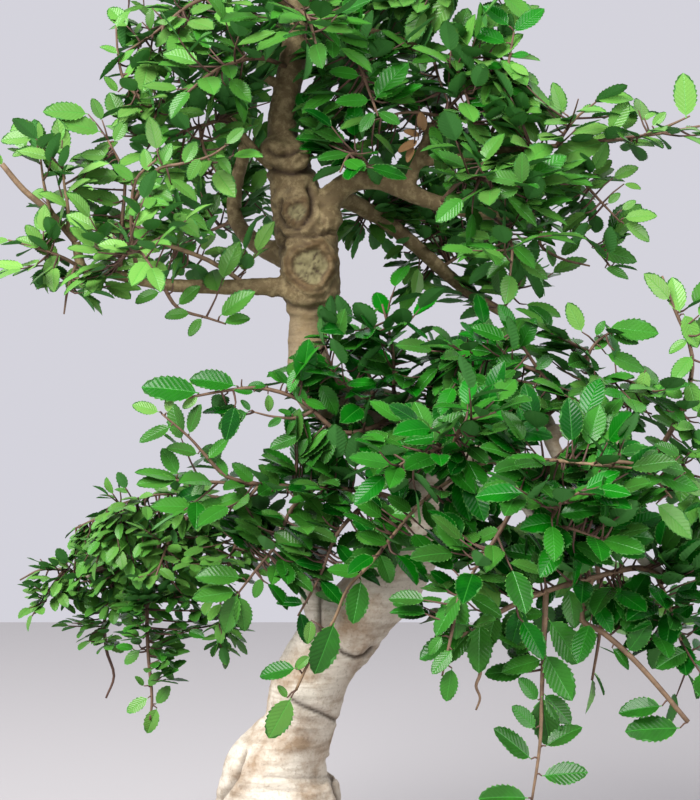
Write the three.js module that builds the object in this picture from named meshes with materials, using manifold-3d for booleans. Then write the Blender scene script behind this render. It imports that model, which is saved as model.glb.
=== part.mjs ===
// A zelkova bonsai with a twisting trunk, in a plain unglazed pot filled with soil.
// Millimetres, +Z up. The pot stands on Z = 0 and the tree's front faces -Y.
import * as THREE from "three";
import { mergeVertices } from "three/addons/utils/BufferGeometryUtils.js";
import Module from "manifold-3d";

const wasm = await Module();
wasm.setup();

// Driving dimensions
const GAP = 0.3; // between neighbouring pieces
const WELD = 1e-4;
const SHORTEST_EDGE = 0.01;

const POT_HEIGHT = 65;
const POT_FOOT = 8; // height of the feet
const POT_HALF_LENGTH = 138;
const POT_HALF_WIDTH = 88;
const POT_WALL = 8;
const POT_FLOOR = 8;
const POT_CORNER = 26;
const POT_SPLAY = 16; // how far the walls lean out from floor to rim
const LIP_HEIGHT = 12;
const LIP_PROUD = 5;
const EASED_EDGE = 2; // the rounding of the rim
const DRAIN_RADIUS = 11;
const DRAIN_OFFSET = 60;
const FOOT_SIZE = [36, 24];
const FOOT_INSET = [8, 6]; // from the edge of the floor
const ROUND_STEPS = 4; // facets in each rounded corner

const MESH_SIZE = 34;
const MESH_THICKNESS = 1.2;
const MESH_HOLE = 7;
const MESH_PITCH = 10;

const SOIL_EDGE = 56;
const SOIL_MOUND = 61;
const SOIL_CLEARANCE = 0.36; // from the leaning walls of the pot

const LEAF_LENGTH = 20;
const LEAF_THICKNESS = 1.3;
const LEAF_HALF_WIDTH = 0.275; // of the length
const LEAF_GAP = 7.5; // between leaves along a twig
const LEAF_EVERY = 5; // of the leaves along a shoot, the share that is made
const TWIG_GAP = 11; // between side twigs along a shoot
const TWIG_EVERY = 14; // of the side twigs, the share that is made
const TWIG_RADIUS = 0.75;
const STEM_SIDES = 3;

const ROOT_START = 88; // height where a surface root leaves the trunk
const ROOT_SIDES = 5;
const TRUNK_SIDES = 10;
const WOUND_SIDES = 8;
const WOUND_DEPTH = 9; // how far a healed wound's back lies in front of the trunk's middle

// The tree is measured from the front, level with its middle. A point is written [x, y, z] with x and z as
// they appear in the trunk's plane from VIEW_DISTANCE away, and y the depth behind that plane.
const VIEW_DISTANCE = 800;
const VIEW_X = 15;
const VIEW_Z = 290;

// Trunk: [x, y, z, radius] from the root ball up to the apex
const TRUNK = [
  [-22, 0, 34, 20], [-22, 0, 60, 29], [-20.5, 0, 88, 32], [-21, 0, 105, 27], [-18, 0, 115, 23],
  [-12.5, 0, 125, 19], [-9, 0, 133, 17.8], [-7.5, 0, 142, 19], [0, 2, 159, 18.4], [18, 3, 182, 18.2],
  [35, 4, 202, 18.2], [48, 6, 225, 17.2], [55, 8, 247, 16],
  [52, 8, 268, 15], [35, 6, 281, 14.2], [13, 4, 287, 13.6], [-3, 2, 298, 12.6], [-7, 0, 315, 11],
  [-5.5, 0, 331, 11.4], [-4.5, 0, 341, 14.6],
  [-5, 0, 358, 15.2], [-8, 0, 376, 14.6], [-11, 0, 388, 12.6], [-14, 0, 400, 11.6], [-16, 0, 412, 11],
  [-18.5, 0, 424, 7.8], [-17.5, 0, 440, 7], [-13.5, 0, 462, 6.5], [-12, 0, 485, 5.4], [-10, 0, 514, 4],
  [-10, 0, 544, 2.2],
];

// Surface roots: compass angle, reach and thickness where they leave the trunk
const ROOTS = [
  [-12, 52, 10], [52, 46, 9], [112, 48, 9], [170, 54, 10], [232, 48, 9], [292, 46, 9],
];

// Bare limbs: [x, y, z, radius]
const LIMBS = [
  [[-8, 0, 345, 8], [-22, -3, 346.5, 4.6], [-55, -10, 346.5, 3.7], [-80, -15, 348, 3.2], [-104, -21, 353, 2.8],
    [-118, -24, 355, 2.6], [-122, -26, 369, 2.2]],
  [[-6, 3, 360, 8], [-28, 22, 366, 5], [-42, 38, 380, 4.2], [-42, 46, 398, 3.9], [-38, 50, 417, 3.4],
    [-46, 52, 436, 2.6]],
  [[-6, 0, 374, 9.5], [4, -3, 389, 6.6], [13, -5, 398, 5.6], [27, -8, 400.5, 5], [44, -11, 394, 4.6],
    [60, -12, 388, 4.1], [85, -14, 383, 3.2], [108, -16, 384, 2.3]],
  [[44, -11, 394, 3.8], [47, -14, 405, 3.2], [51, -16, 414, 2.8], [56, -18, 428, 1.8]],
  [[48, -14, 409, 2.7], [72, -19, 411, 2.4], [97, -24, 416, 2.1], [112, -27, 411, 1.9], [126, -30, 406, 1.6]],
  [[-5, 3, 385, 6.5], [8, 16, 391, 5], [25, 30, 384, 4.4], [42, 42, 372, 4.2], [60, 54, 356, 3.8],
    [74, 60, 344, 3], [90, 64, 334, 2.2]],
  [[-16, 0, 404, 5], [-29, -4, 411, 2.5], [-37, -8, 420, 2.1], [-47, -12, 431, 1.6]],
  [[-17, 0, 446, 3.4], [-29, -6, 451, 1.8], [-48, -14, 447, 1.6], [-67, -20, 444, 1.3]],
  [[-12, 0, 460, 4.4], [-3, -2, 469, 2.5], [15, -8, 475, 2.1], [34, -14, 472, 1.8], [52, -18, 465, 1.5]],
  [[-10, 0, 500, 3.2], [6, -6, 508, 2.2], [26, -12, 512, 1.8], [48, -16, 510, 1.4]],
  [[-11.5, 0, 488, 3.6], [-28, -6, 493, 2.2], [-50, -12, 494, 1.7]],
  [[-13, 2, 468, 3.8], [-9, 28, 479, 2.1], [0, 50, 484, 1.5]],
  [[48, 6, 262, 11], [60, 2, 285, 6.4], [72, -8, 293, 5], [92, -20, 288, 4.4], [112, -30, 281, 4],
    [116, -40, 268, 3.6], [130, -52, 245, 3.1], [150, -62, 222, 2.8], [172, -70, 201, 3]],
  [[114, -36, 275, 3.4], [130, -44, 274, 2.7], [150, -52, 268, 2.3], [168, -58, 262, 1.8]],
  [[6, 2, 176, 11], [-3, 4, 194, 7], [-9, 16, 209, 5.4], [-16, 34, 223, 4.6], [-25, 50, 232, 4],
    [-60, 68, 228, 3.5], [-92, 84, 216, 2.9], [-116, 96, 202, 2.2]],
  [[53, 2, 250, 10], [72, -30, 262, 4.6], [84, -60, 262, 3.7], [92, -84, 258, 3], [100, -98, 242, 2.6],
    [109, -104, 227, 1.9]],
];

// Where a pruned limb or knot has healed over on the front: [x, z, outer radius, hollow radius]
const SCARS = [[-5, 357, 13.5, 8], [-11.5, 384, 7.5, 4]];

// Swellings: [x, y, z, radius]
const BURLS = [
  [-22, -6, 414, 7.5], [-11, -6, 410, 8], [4, -5, 380, 7], [-5, -8, 344, 9],
];

// Leafy shoots by node: each node is a list of routes [x, y, z]. The first starts on the wood, and the
// others start on the first.
const SPRAYS = {
  crown_apex: [[[-10, 0, 538], [-8, -3, 549], [-3, -6, 558]]],
  crown_left_low: [[[-67, -20, 444], [-80, -24, 438], [-90, -26, 434]]],
  crown_left_middle: [
    [[-50, -12, 494], [-66, -17, 487], [-82, -22, 474], [-97, -26, 464]],
    [[-58, -15, 491], [-76, -14, 498], [-96, -16, 497]],
  ],
  crown_left_high: [[[-10, 0, 508], [-30, -6, 520], [-54, -12, 530]]],
  crown_left_back: [[[-13, 2, 474], [-35, 30, 483], [-60, 56, 486]]],
  crown_right_low: [[[52, -18, 465], [70, -24, 461], [90, -28, 462]]],
  crown_right_middle: [[[48, -16, 510], [68, -20, 504], [92, -24, 492]]],
  crown_right_high: [[[-10, 0, 522], [10, -6, 532], [34, -10, 536]]],
  crown_right_back: [[[-11.5, 1, 488], [14, 32, 496], [44, 56, 496]]],
  crown_front: [[[-12, -2, 478], [-13, -32, 485], [-6, -60, 481], [-2, -76, 468]]],
  crown_front_left: [[[-15, -2, 456], [-32, -28, 461], [-52, -46, 455], [-66, -58, 444]]],
  crown_front_right: [[[15, -8, 475], [18, -28, 463], [24, -42, 446], [29, -50, 432]]],
  crown_back: [[[0, 50, 484], [6, 74, 478], [14, 92, 468]]],
  left_tip: [
    [[-122, -26, 369], [-135, -30, 384], [-148, -34, 395], [-159, -36, 408]],
    [[-134, -30, 382], [-138, -36, 398], [-140, -40, 414]],
    [[-126, -27.5, 374], [-126, -38, 386], [-128, -42, 399], [-129, -44, 412]],
  ],
  left_far: [
    [[-118, -24, 355], [-128, -30, 361], [-142, -34, 366], [-156, -37, 370]],
    [[-122, -26.5, 357.5], [-126, -34, 346], [-128, -38, 333]],
  ],
  left_upright_middle: [[[-100, -20, 352], [-99, -28, 378], [-98, -32, 403], [-106, -36, 420]]],
  left_upright_inner: [[[-90, -17, 349.5], [-94, -36, 372], [-92, -46, 400], [-82, -50, 410]]],
  left_front: [[[-104, -21, 353], [-99, -46, 361], [-90, -68, 364], [-84, -80, 356]]],
  left_hanging: [[[-79, -15, 348], [-71, -22, 336], [-56, -26, 331], [-47, -28, 328]]],
  left_tan: [[[-35, -6, 346.5], [-56, -14, 360], [-80, -22, 369], [-94, -26, 376]]],
  left_back: [[[-96, -19, 351], [-100, 10, 366], [-106, 36, 376]]],
  upper_left: [
    [[-47, -12, 431], [-60, -16, 427], [-78, -20, 422], [-98, -24, 422]],
    [[-60, -16, 427], [-58, -30, 415], [-52, -38, 404]],
  ],
  back_left_high: [[[-46, 52, 436], [-62, 58, 447], [-80, 62, 450]]],
  back_left_middle: [
    [[-42, 46, 398], [-58, 60, 404], [-78, 72, 404]],
    [[-47, 50, 400], [-36, 68, 396], [-26, 88, 380]],
  ],
  back_left_low: [[[-42, 38, 380], [-56, 56, 374], [-72, 70, 366]]],
  right_tip: [[[108, -16, 384], [120, -20, 380], [134, -24, 370], [145, -28, 357]]],
  right_light: [[[126, -30, 406], [136, -34, 394], [150, -38, 379]]],
  right_far: [
    [[97, -24, 416], [118, -34, 417], [144, -42, 420], [168, -46, 423], [190, -50, 427]],
    [[118, -34, 417], [127, -40, 430], [138, -44, 439]],
  ],
  right_upright: [[[80, -20, 412.5], [90, -32, 434], [94, -36, 457], [97, -38, 474]]],
  right_top: [
    [[56, -18, 428], [68, -26, 440], [77, -30, 452], [73, -32, 466]],
    [[60, -20.5, 432], [44, -28, 434], [27, -34, 430]],
  ],
  right_front: [[[60, -12, 388], [70, -36, 399], [84, -58, 402], [98, -72, 397]]],
  right_front_low: [[[85, -14, 383], [90, -34, 378], [96, -54, 367], [95, -64, 352]]],
  right_inner: [[[27, -8, 400.5], [22, -26, 410], [15, -40, 413], [10, -50, 404]]],
  right_back_low: [[[42, 42, 372], [52, 56, 364], [57, 66, 353]]],
  right_back_inner: [[[25, 30, 384], [21, 48, 383], [17, 66, 377]]],
  right_back_tip: [[[90, 64, 334], [98, 58, 345], [103, 54, 356]]],
  right_back_high: [[[60, 54, 356], [80, 68, 369], [102, 76, 384]]],
  middle_left: [
    [[46, 7, 274], [36, -14, 282], [20, -24, 293], [6, -28, 302]],
    [[36, -14, 282], [37, -22, 300], [36, -24, 318], [31, -25, 338]],
    [[27, -20, 288], [24, -14, 304], [14, -12, 316], [3, -14, 318]],
    [
      [36, -14, 282], [26, -24, 276], [10, -30, 274], [-10, -34, 290], [-30, -38, 296], [-45, -40, 295],
      [-67, -43, 291],
    ],
  ],
  middle_shoot: [
    [[112, -30, 281], [120, -42, 290], [110, -48, 304], [100, -52, 319], [92, -54, 332]],
    [[110, -48, 304], [88, -42, 312], [70, -38, 316]],
  ],
  middle_far: [
    [[130, -44, 274], [137, -46, 296], [134, -48, 312], [142, -50, 322], [154, -52, 326]],
    [[137, -46, 296], [152, -56, 300], [168, -64, 292]],
  ],
  right_edge: [
    [[168, -58, 262], [182, -68, 288], [186, -72, 312], [177, -74, 336], [171, -76, 352]],
    [[172, -60.5, 269], [184, -68, 254], [190, -74, 238]],
  ],
  front_right_high: [
    [[84, -60, 262], [66, -82, 266], [48, -98, 262], [32, -106, 252]],
    [[66, -82, 266], [72, -100, 278], [88, -112, 284]],
  ],
  front_right_far: [
    [[92, -84, 258], [112, -104, 260], [134, -118, 258], [156, -126, 256]],
    [
      [96, -88, 258.5], [84, -92, 259], [67, -86, 251], [50, -78, 238], [37, -70, 223], [25, -62, 208],
      [14, -54, 196], [7, -48, 180], [-6, -40, 158], [-12, -38, 145],
    ],
  ],
  front_right_low: [
    [[109, -104, 227], [124, -116, 226], [142, -124, 220]],
    [[114, -109, 226.7], [120, -124, 238], [130, -136, 244]],
  ],
  front_right_down: [[[100, -98, 242], [88, -110, 221], [78, -114, 206], [69, -116, 192]]],
  middle_back: [
    [[60, 2, 285], [72, 30, 291], [84, 60, 286], [94, 80, 276]],
    [[72, 30, 291], [92, 34, 300], [116, 40, 296]],
  ],
  front_left_low: [
    [[47, 0, 236], [30, -18, 243], [4, -24, 246], [-35, -30, 248], [-72, -34, 250]],
    [[-30, -29.3, 247.7], [-47, -34, 252], [-57, -37, 262], [-65, -39, 271], [-79, -42, 283]],
    [[30, -18, 243], [18, -30, 234], [8, -34, 222], [0, -35, 202], [-11, -35, 182]],
    [[-2, -24.8, 246.5], [-14, -32, 236], [-22, -30, 218], [-32, -30, 205], [-42, -30, 192]],
  ],
  low_right: [
    [[172, -70, 201], [160, -76, 206], [140, -82, 202], [112, -90, 194], [90, -96, 184], [70, -100, 172]],
    [[113, -89.7, 194.3], [112, -92, 168], [111, -94, 146], [110, -96, 118], [106, -98, 90]],
    [[136, -83, 201], [131, -90, 180], [141, -92, 174], [155, -94, 162], [168, -96, 148], [184, -98, 129]],
    [[168, -72, 203], [176, -76, 184], [181, -78, 168], [190, -80, 154]],
  ],
  low_right_back: [[[130, -52, 245], [138, -10, 212], [140, 24, 176], [136, 34, 150]]],
  low_left_high: [
    [[-25, 50, 232], [-50, 46, 241], [-80, 48, 243], [-106, 52, 236]],
    [[-36, 47.7, 237], [-42, 38, 218], [-49, 34, 197], [-50, 30, 178]],
  ],
  low_left_tip: [
    [[-116, 96, 202], [-128, 102, 205], [-140, 106, 205], [-150, 108, 200]],
    [[-128, 102, 205], [-136, 106, 194], [-144, 108, 182]],
  ],
  low_left_middle: [
    [
      [-92, 84, 216], [-100, 104, 202], [-107, 114, 186], [-107, 116, 166], [-103, 116, 152], [-107, 116, 141],
    ],
  ],
  low_left_back: [
    [[-60, 68, 228], [-84, 92, 236], [-108, 108, 232], [-122, 112, 226]],
    [[-70, 77, 232], [-76, 48, 218], [-82, 26, 202]],
  ],
  low_left_hanging: [[[-80, 78, 220], [-86, 66, 194], [-86, 62, 165], [-84, 60, 140], [-85, 58, 130]]],
};

const UP = new THREE.Vector3(0, 0, 1);
const SPRAY_NAMES = Object.keys(SPRAYS);

// Basic tools

function toSolid(geometry) {
  const bare = geometry.clone();
  bare.deleteAttribute("normal");
  bare.deleteAttribute("uv");
  const merged = mergeVertices(bare, WELD);
  return new wasm.Manifold(new wasm.Mesh({
    numProp: 3,
    vertProperties: new Float32Array(merged.attributes.position.array),
    triVerts: new Uint32Array(merged.index.array),
  }));
}

function toMesh(solid, name, material) {
  const { vertProperties, triVerts } = solid.getMesh();
  const geometry = new THREE.BufferGeometry();
  geometry.setAttribute("position", new THREE.Float32BufferAttribute(vertProperties, 3));
  geometry.setIndex(new THREE.Uint32BufferAttribute(triVerts, 1));
  geometry.computeVertexNormals();
  const mesh = new THREE.Mesh(geometry, material);
  mesh.name = name;
  return mesh;
}

function join(solids) {
  return wasm.Manifold.union(solids);
}

// The same numbers on every run, from a whole number
function dice(seed) {
  let state = (Math.imul(seed, 2654435761) + 12345) >>> 0;
  const roll = () => {
    state = (Math.imul(state, 1664525) + 1013904223) >>> 0;
    return state / 4294967296;
  };
  roll();
  roll();
  return roll;
}

// From where a point appears from the front to where it is
function place([x, y, z]) {
  const spread = (VIEW_DISTANCE + y) / VIEW_DISTANCE;
  return new THREE.Vector3(VIEW_X + (x - VIEW_X) * spread, y, VIEW_Z + (z - VIEW_Z) * spread);
}

function curveThrough(points) {
  return new THREE.CatmullRomCurve3(points, false, "centripetal");
}

// A cylinder bent along a curve, its radius given at each share of the way
const FIRST_SIDE = new THREE.Vector3(0.3, -0.9, 0.35);

function bent(curve, radiusAt, sides, steps) {
  const geometry = new THREE.CylinderGeometry(1, 1, 1, sides, steps);
  const rows = [];
  let across = FIRST_SIDE;
  for (let i = 0; i <= steps; i += 1) {
    const tangent = curve.getTangent(i / steps);
    across = across.clone().addScaledVector(tangent, -across.dot(tangent)).normalize();
    rows.push({ centre: curve.getPoint(i / steps), across, other: tangent.clone().cross(across) });
  }
  const position = geometry.attributes.position;
  const vertex = new THREE.Vector3();
  for (let i = 0; i < position.count; i += 1) {
    vertex.fromBufferAttribute(position, i);
    const share = vertex.y + 0.5;
    const row = rows[Math.round(share * steps)];
    const away = Math.hypot(vertex.x, vertex.z);
    const radius = away < 1e-6 ? 0 : radiusAt(share) / away;
    const moved = row.centre.clone().addScaledVector(row.across, vertex.z * radius);
    moved.addScaledVector(row.other, vertex.x * radius);
    position.setXYZ(i, moved.x, moved.y, moved.z);
  }
  return toSolid(geometry);
}

// A value given at evenly numbered stations, read between them
function between(values, share) {
  const along = Math.min(Math.max(share, 0), 1) * (values.length - 1);
  const low = Math.min(Math.floor(along), values.length - 2);
  return values[low] + (values[low + 1] - values[low]) * (along - low);
}

const THIN_LIMB = 7;

function limb(stations, sides, extra) {
  const curve = curveThrough(stations.map(place));
  const radii = stations.map((station) => station[3]);
  return bent(curve, (share) => between(radii, share) + extra, sides, stations.length - 1);
}

// Wood: trunk, surface roots, limbs, scars and swellings in one grown piece.
// With extra above 0 it is the room that the wood takes up among its neighbours.

// From inside the trunk, down over the soil's surface and into it: [share of the reach, height, share of
// the radius]
const ROOT_RUN = [
  [0.2, ROOT_START, 1],
  [0.55, SOIL_MOUND + 5, 0.8],
  [0.8, SOIL_MOUND - 6, 0.55],
  [0.86, SOIL_MOUND - 22, 0.3],
];

function surfaceRoot([compass, reach, radius], extra) {
  const angle = THREE.MathUtils.degToRad(compass);
  const [x, y] = TRUNK[2];
  const curve = curveThrough(ROOT_RUN.map(([share, height]) =>
    new THREE.Vector3(x + Math.cos(angle) * share * reach, y + Math.sin(angle) * share * reach, height)));
  const radii = ROOT_RUN.map((station) => station[2] * radius);
  return bent(curve, (share) => between(radii, share) + extra, ROOT_SIDES, ROOT_RUN.length - 1);
}

// A healed wound: a rounded ring with a sunk middle, turned out of the front of the trunk
function scar([x, z, outer, hollow], extra) {
  const depth = outer * 0.75;
  const profile = [
    [0, -depth],
    [outer * 0.92 + extra, -depth],
    [outer + extra, depth * 0.2],
    [(outer + hollow) / 2, depth * 0.5 + extra],
    [hollow, depth * 0.3 + extra],
    [0, depth * 0.1 + extra],
  ].map(([radius, height]) => new THREE.Vector2(radius, height));
  const geometry = new THREE.LatheGeometry(profile, WOUND_SIDES);
  geometry.rotateX(Math.PI / 2);
  geometry.translate(x, -WOUND_DEPTH, z);
  return toSolid(geometry);
}

function burl([x, y, z, radius], extra) {
  const geometry = new THREE.IcosahedronGeometry(radius + extra, 1);
  geometry.translate(x, y, z);
  return toSolid(geometry);
}

function woodPieces(extra) {
  const curve = curveThrough(TRUNK.map(place));
  const radii = TRUNK.map((station) => station[3]);
  return [
    bent(curve, (share) => between(radii, share) + extra, TRUNK_SIDES, TRUNK.length - 1),
    ...ROOTS.map((root) => surfaceRoot(root, extra)),
    ...LIMBS.map((stations) => limb(stations, stations[0][3] < THIN_LIMB ? 4 : 5, extra)),
    ...SCARS.map((wound) => scar(wound, extra)),
    ...BURLS.map((swelling) => burl(swelling, extra)),
  ];
}

// Leaves

// Half the rim of a blade from the tip to the base: [share of the length, share of the half width]
const LEAF_RIM = [[0.86, 0.6], [0.7, 0.72], [0.64, 0.95], [0.46, 0.82], [0.4, 1], [0.17, 0.6]];
const LEAF_MIDDLE = 0.32; // where the blade is thickest, as a share of its length
const LEAF_FOLD = 0.2; // rise of the edges over the midrib, for each mm of width
const LEAF_ARCH = 0.1; // drop of the tip, as a share of the length

// A cone whose rim is moved out to the blade's saw-toothed edge: a thin lens, folded along its midrib
function blade(leaf, grow) {
  const half = LEAF_RIM.length;
  const outline = [
    [1, 0],
    ...LEAF_RIM,
    [0, 0],
    ...LEAF_RIM.toReversed().map(([along, out]) => [along, -out]),
  ];
  const geometry = new THREE.ConeGeometry(1, 1, half * 2 + 2);
  const side = leaf.normal.clone().cross(leaf.axis);
  const position = geometry.attributes.position;
  const vertex = new THREE.Vector3();
  for (let i = 0; i < position.count; i += 1) {
    vertex.fromBufferAttribute(position, i);
    const onRim = Math.hypot(vertex.x, vertex.z) > 0.5;
    const turn = Math.atan2(vertex.x, vertex.z) / (2 * Math.PI);
    const corner = Math.round((turn + 1) * outline.length) % outline.length;
    const [along, out] = onRim ? outline[corner] : [LEAF_MIDDLE, 0];
    const stretch = onRim ? 1 + grow / (LEAF_LENGTH * LEAF_HALF_WIDTH) : 1;
    const length = (LEAF_MIDDLE + (along - LEAF_MIDDLE) * stretch) * leaf.length;
    const width = out * stretch * LEAF_HALF_WIDTH * leaf.length;
    const middle = onRim ? 0 : Math.sign(vertex.y) * (LEAF_THICKNESS / 2 + grow);
    const height = middle + LEAF_FOLD * Math.abs(width) - LEAF_ARCH * leaf.length * along * along;
    const moved = leaf.base.clone().addScaledVector(leaf.axis, length);
    moved.addScaledVector(side, width).addScaledVector(leaf.normal, height);
    position.setXYZ(i, moved.x, moved.y, moved.z);
  }
  return toSolid(geometry);
}

const STEEP = 0.05; // below this a stem runs so nearly upright that "level across it" means little
const LEAF_PITCH = 0.7; // how much blades rise or droop
const LEAF_TILT = 1.1; // how much blades roll
const LEAF_OUTWARD = new THREE.Vector3(0.002, 0.003, 0); // turn away from the trunk, for each mm from it
const LEAF_FORWARD = 0.25; // turn towards the light at the front

// Blades lie fairly level and turn a little outwards from the trunk, each with its own tilt
function leafAt(base, tangent, hand, spread, size, roll) {
  const level = tangent.clone().cross(UP);
  if (level.lengthSq() < STEEP) {
    level.set(base.y, -base.x, 0.1);
  }
  level.normalize();
  const axis = tangent.clone().multiplyScalar(Math.cos(spread));
  axis.addScaledVector(level, hand * Math.sin(spread));
  axis.addScaledVector(UP, (roll() - 0.5) * LEAF_PITCH).normalize();
  const normal = base.clone().multiply(LEAF_OUTWARD).add(UP);
  normal.x += (roll() - 0.5) * LEAF_TILT;
  normal.y += (roll() - 0.5) * LEAF_TILT - LEAF_FORWARD;
  normal.addScaledVector(axis, -normal.dot(axis)).normalize();
  return { base, axis, normal, length: size };
}

// Twigs: a shoot is the hand-laid stem, and its side twigs and leaves follow the rule below

function shootsOf(name) {
  const number = SPRAY_NAMES.indexOf(name) + 1;
  return SPRAYS[name].map((route, index) => {
    const curve = curveThrough(route.map(place));
    const length = curve.getLength();
    return { curve, length, seed: number * 40 + index * 13, steps: route.length - 1, twigs: [] };
  });
}

function stemRadius(length) {
  return Math.min(1.7, 0.9 + length / 160);
}

const TWIG_LENGTH = [15, 19]; // shortest, and what is added at most
const TWIG_TURN = 2.2; // how far twigs turn out of the level on either side, in radians
const TWIG_RAISED = 1.2; // every third one stands up
const TWIG_OPEN = [0.75, 0.45]; // angle with the shoot: least, and what is added at most
const TWIG_LIFT = 0.12;
const TWIG_SPAN = [0.2, 0.74]; // where along the shoot the side twigs begin, and over what share of it

function sideTwigs(shoot) {
  const count = Math.max(2, Math.round(shoot.length / TWIG_GAP));
  const twigs = [];
  for (let i = 0; i < count; i += 1) {
    const roll = dice(shoot.seed * 32 + i);
    const share = TWIG_SPAN[0] + TWIG_SPAN[1] * ((i + 0.5) / count);
    const start = shoot.curve.getPointAt(share);
    const tangent = shoot.curve.getTangentAt(share);
    const level = tangent.clone().cross(UP);
    if (level.lengthSq() < STEEP) {
      level.set(1, 0, 0);
    }
    level.normalize();
    const rise = level.clone().cross(tangent).normalize();
    const turn = (roll() - 0.5) * TWIG_TURN + (i % 3 === 2 ? TWIG_RAISED : 0);
    const hand = i % 2 === 0 ? 1 : -1;
    const away = level.clone().multiplyScalar(hand * Math.cos(turn)).addScaledVector(rise, Math.sin(turn));
    const open = TWIG_OPEN[0] + TWIG_OPEN[1] * roll();
    const heading = tangent.clone().multiplyScalar(Math.cos(open)).addScaledVector(away, Math.sin(open));
    heading.addScaledVector(UP, TWIG_LIFT).normalize();
    const length = (TWIG_LENGTH[0] + TWIG_LENGTH[1] * roll()) * (1.1 - 0.4 * share);
    const end = start.clone().addScaledVector(heading, length);
    twigs.push({ start, end, heading, seed: shoot.seed * 32 + i + 7 });
  }
  return twigs;
}

const LEAF_SIZES = [0.74, 0.36]; // least share of the length, and what is added at most
const LEAF_SPREAD = [0.75, 0.4]; // angle with the twig: least, and what is added at most
const BARE_FOOT = 0.3; // share of a shoot before its first leaf

function leavesAlong(shoot) {
  const { curve, length, seed } = shoot;
  const from = length * BARE_FOOT;
  const leaves = [];
  const count = Math.floor((length - from) / LEAF_GAP);
  for (let i = 0; i < count; i += 1) {
    const roll = dice(seed * 64 + i);
    const share = (from + (i + 0.5) * LEAF_GAP) / length;
    const size = LEAF_LENGTH * (LEAF_SIZES[0] + LEAF_SIZES[1] * roll());
    const spread = LEAF_SPREAD[0] + LEAF_SPREAD[1] * roll();
    const hand = i % 2 === 0 ? 1 : -1;
    leaves.push(leafAt(curve.getPointAt(share), curve.getTangentAt(share), hand, spread, size, roll));
  }
  return leaves;
}

const TIP_SIZES = [0.8, 0.3];
const TIP_SPREAD = 0.15;

function tipLeaf(point, tangent, seed) {
  const roll = dice(seed);
  const size = LEAF_LENGTH * (TIP_SIZES[0] + TIP_SIZES[1] * roll());
  return leafAt(point.clone().addScaledVector(tangent, -1), tangent, 1, TIP_SPREAD * roll(), size, roll);
}

// What already fills the space, so that shoots and leaves are laid clear of each other

const taken = [];

function occupy(solid, owner, kind) {
  taken.push({ solid, box: solid.boundingBox(), owner, kind });
}

function apart(a, b) {
  return [0, 1, 2].some((axis) => a.min[axis] > b.max[axis] || b.min[axis] > a.max[axis]);
}

function largest(solid) {
  return solid.decompose().reduce((best, body) => (body.volume() > best.volume() ? body : best));
}

function shortEdges(solid) {
  const { vertProperties, triVerts } = solid.getMesh();
  const corner = (index) => new THREE.Vector3().fromArray(vertProperties, index * 3);
  let count = 0;
  for (let i = 0; i < triVerts.length; i += 3) {
    for (const [from, to] of [[0, 1], [1, 2], [2, 0]]) {
      count += corner(triVerts[i + from]).distanceTo(corner(triVerts[i + to])) < SHORTEST_EDGE ? 1 : 0;
    }
  }
  return count;
}

// The two grown together, or nothing where that would leave slivers or loose bits
function grownOn(solid, piece) {
  const grown = solid.add(piece);
  const sound = shortEdges(grown) <= shortEdges(solid) && grown.decompose().length === 1;
  return sound ? grown : null;
}

function isClear(solid, matters) {
  const box = solid.boundingBox();
  const near = taken.filter((other) => matters(other) && !apart(box, other.box));
  return near.every((other) => solid.intersect(other.solid).isEmpty());
}

// Stems first, for every node

function stemTube(shoot, extra) {
  const thick = stemRadius(shoot.length);
  const radiusAt = (share) => thick * (1 - 0.45 * share) + extra;
  return bent(shoot.curve, radiusAt, STEM_SIDES, shoot.steps);
}

function twigCone(twig, extra) {
  const path = new THREE.LineCurve3(twig.start, twig.end);
  return bent(path, (share) => TWIG_RADIUS * (1 - 0.5 * share) + extra, STEM_SIDES, 1);
}

const WOOD_ROOM = woodPieces(GAP);
WOOD_ROOM.forEach((solid) => occupy(solid, "wood", "wood"));

const stems = SPRAY_NAMES.map((name) => {
  const shoots = shootsOf(name);
  shoots.forEach((shoot) => occupy(stemTube(shoot, GAP), name, "stem"));
  return { name, shoots };
});

const woodRoom = join(WOOD_ROOM);

stems.forEach((spray) => {
  spray.grown = largest(join(spray.shoots.map((shoot) => stemTube(shoot, 0))).subtract(woodRoom));
  spray.shoots.forEach((shoot) => {
    sideTwigs(shoot).filter((twig, index) => index % TWIG_EVERY === 2).forEach((twig) => {
      const room = twigCone(twig, GAP);
      const grown = grownOn(spray.grown, twigCone(twig, 0));
      if (grown && isClear(room, (other) => other.owner !== spray.name)) {
        occupy(room, spray.name, "stem");
        spray.grown = grown;
        shoot.twigs.push(twig);
      }
    });
  });
});

// Then leaves, each turned a little until it lies clear, or left out

const TRIES = 9;
const TRY_ROLL = 0.35;
const TRY_PITCH = 0.21;
const GROWN_IN = 0.3; // share of a blade that may lie in its own stem

// Turned alternately one way and the other, further with each pair of attempts
function turned(leaf, attempt) {
  const steps = Math.ceil(attempt / 2) * (attempt % 2 === 0 ? 1 : -1);
  const normal = leaf.normal.clone().applyAxisAngle(leaf.axis, steps * TRY_ROLL);
  const side = normal.clone().cross(leaf.axis);
  const axis = leaf.axis.clone().applyAxisAngle(side, steps * TRY_PITCH);
  return { ...leaf, axis, normal: normal.addScaledVector(axis, -normal.dot(axis)).normalize() };
}

// The outer part of a blade, which keeps clear of the stems that its foot is grown into
function outerPart(leaf) {
  const base = leaf.base.clone().addScaledVector(leaf.axis, leaf.length * GROWN_IN);
  return blade({ ...leaf, base, length: leaf.length * (1 - GROWN_IN) }, 0);
}

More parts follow.
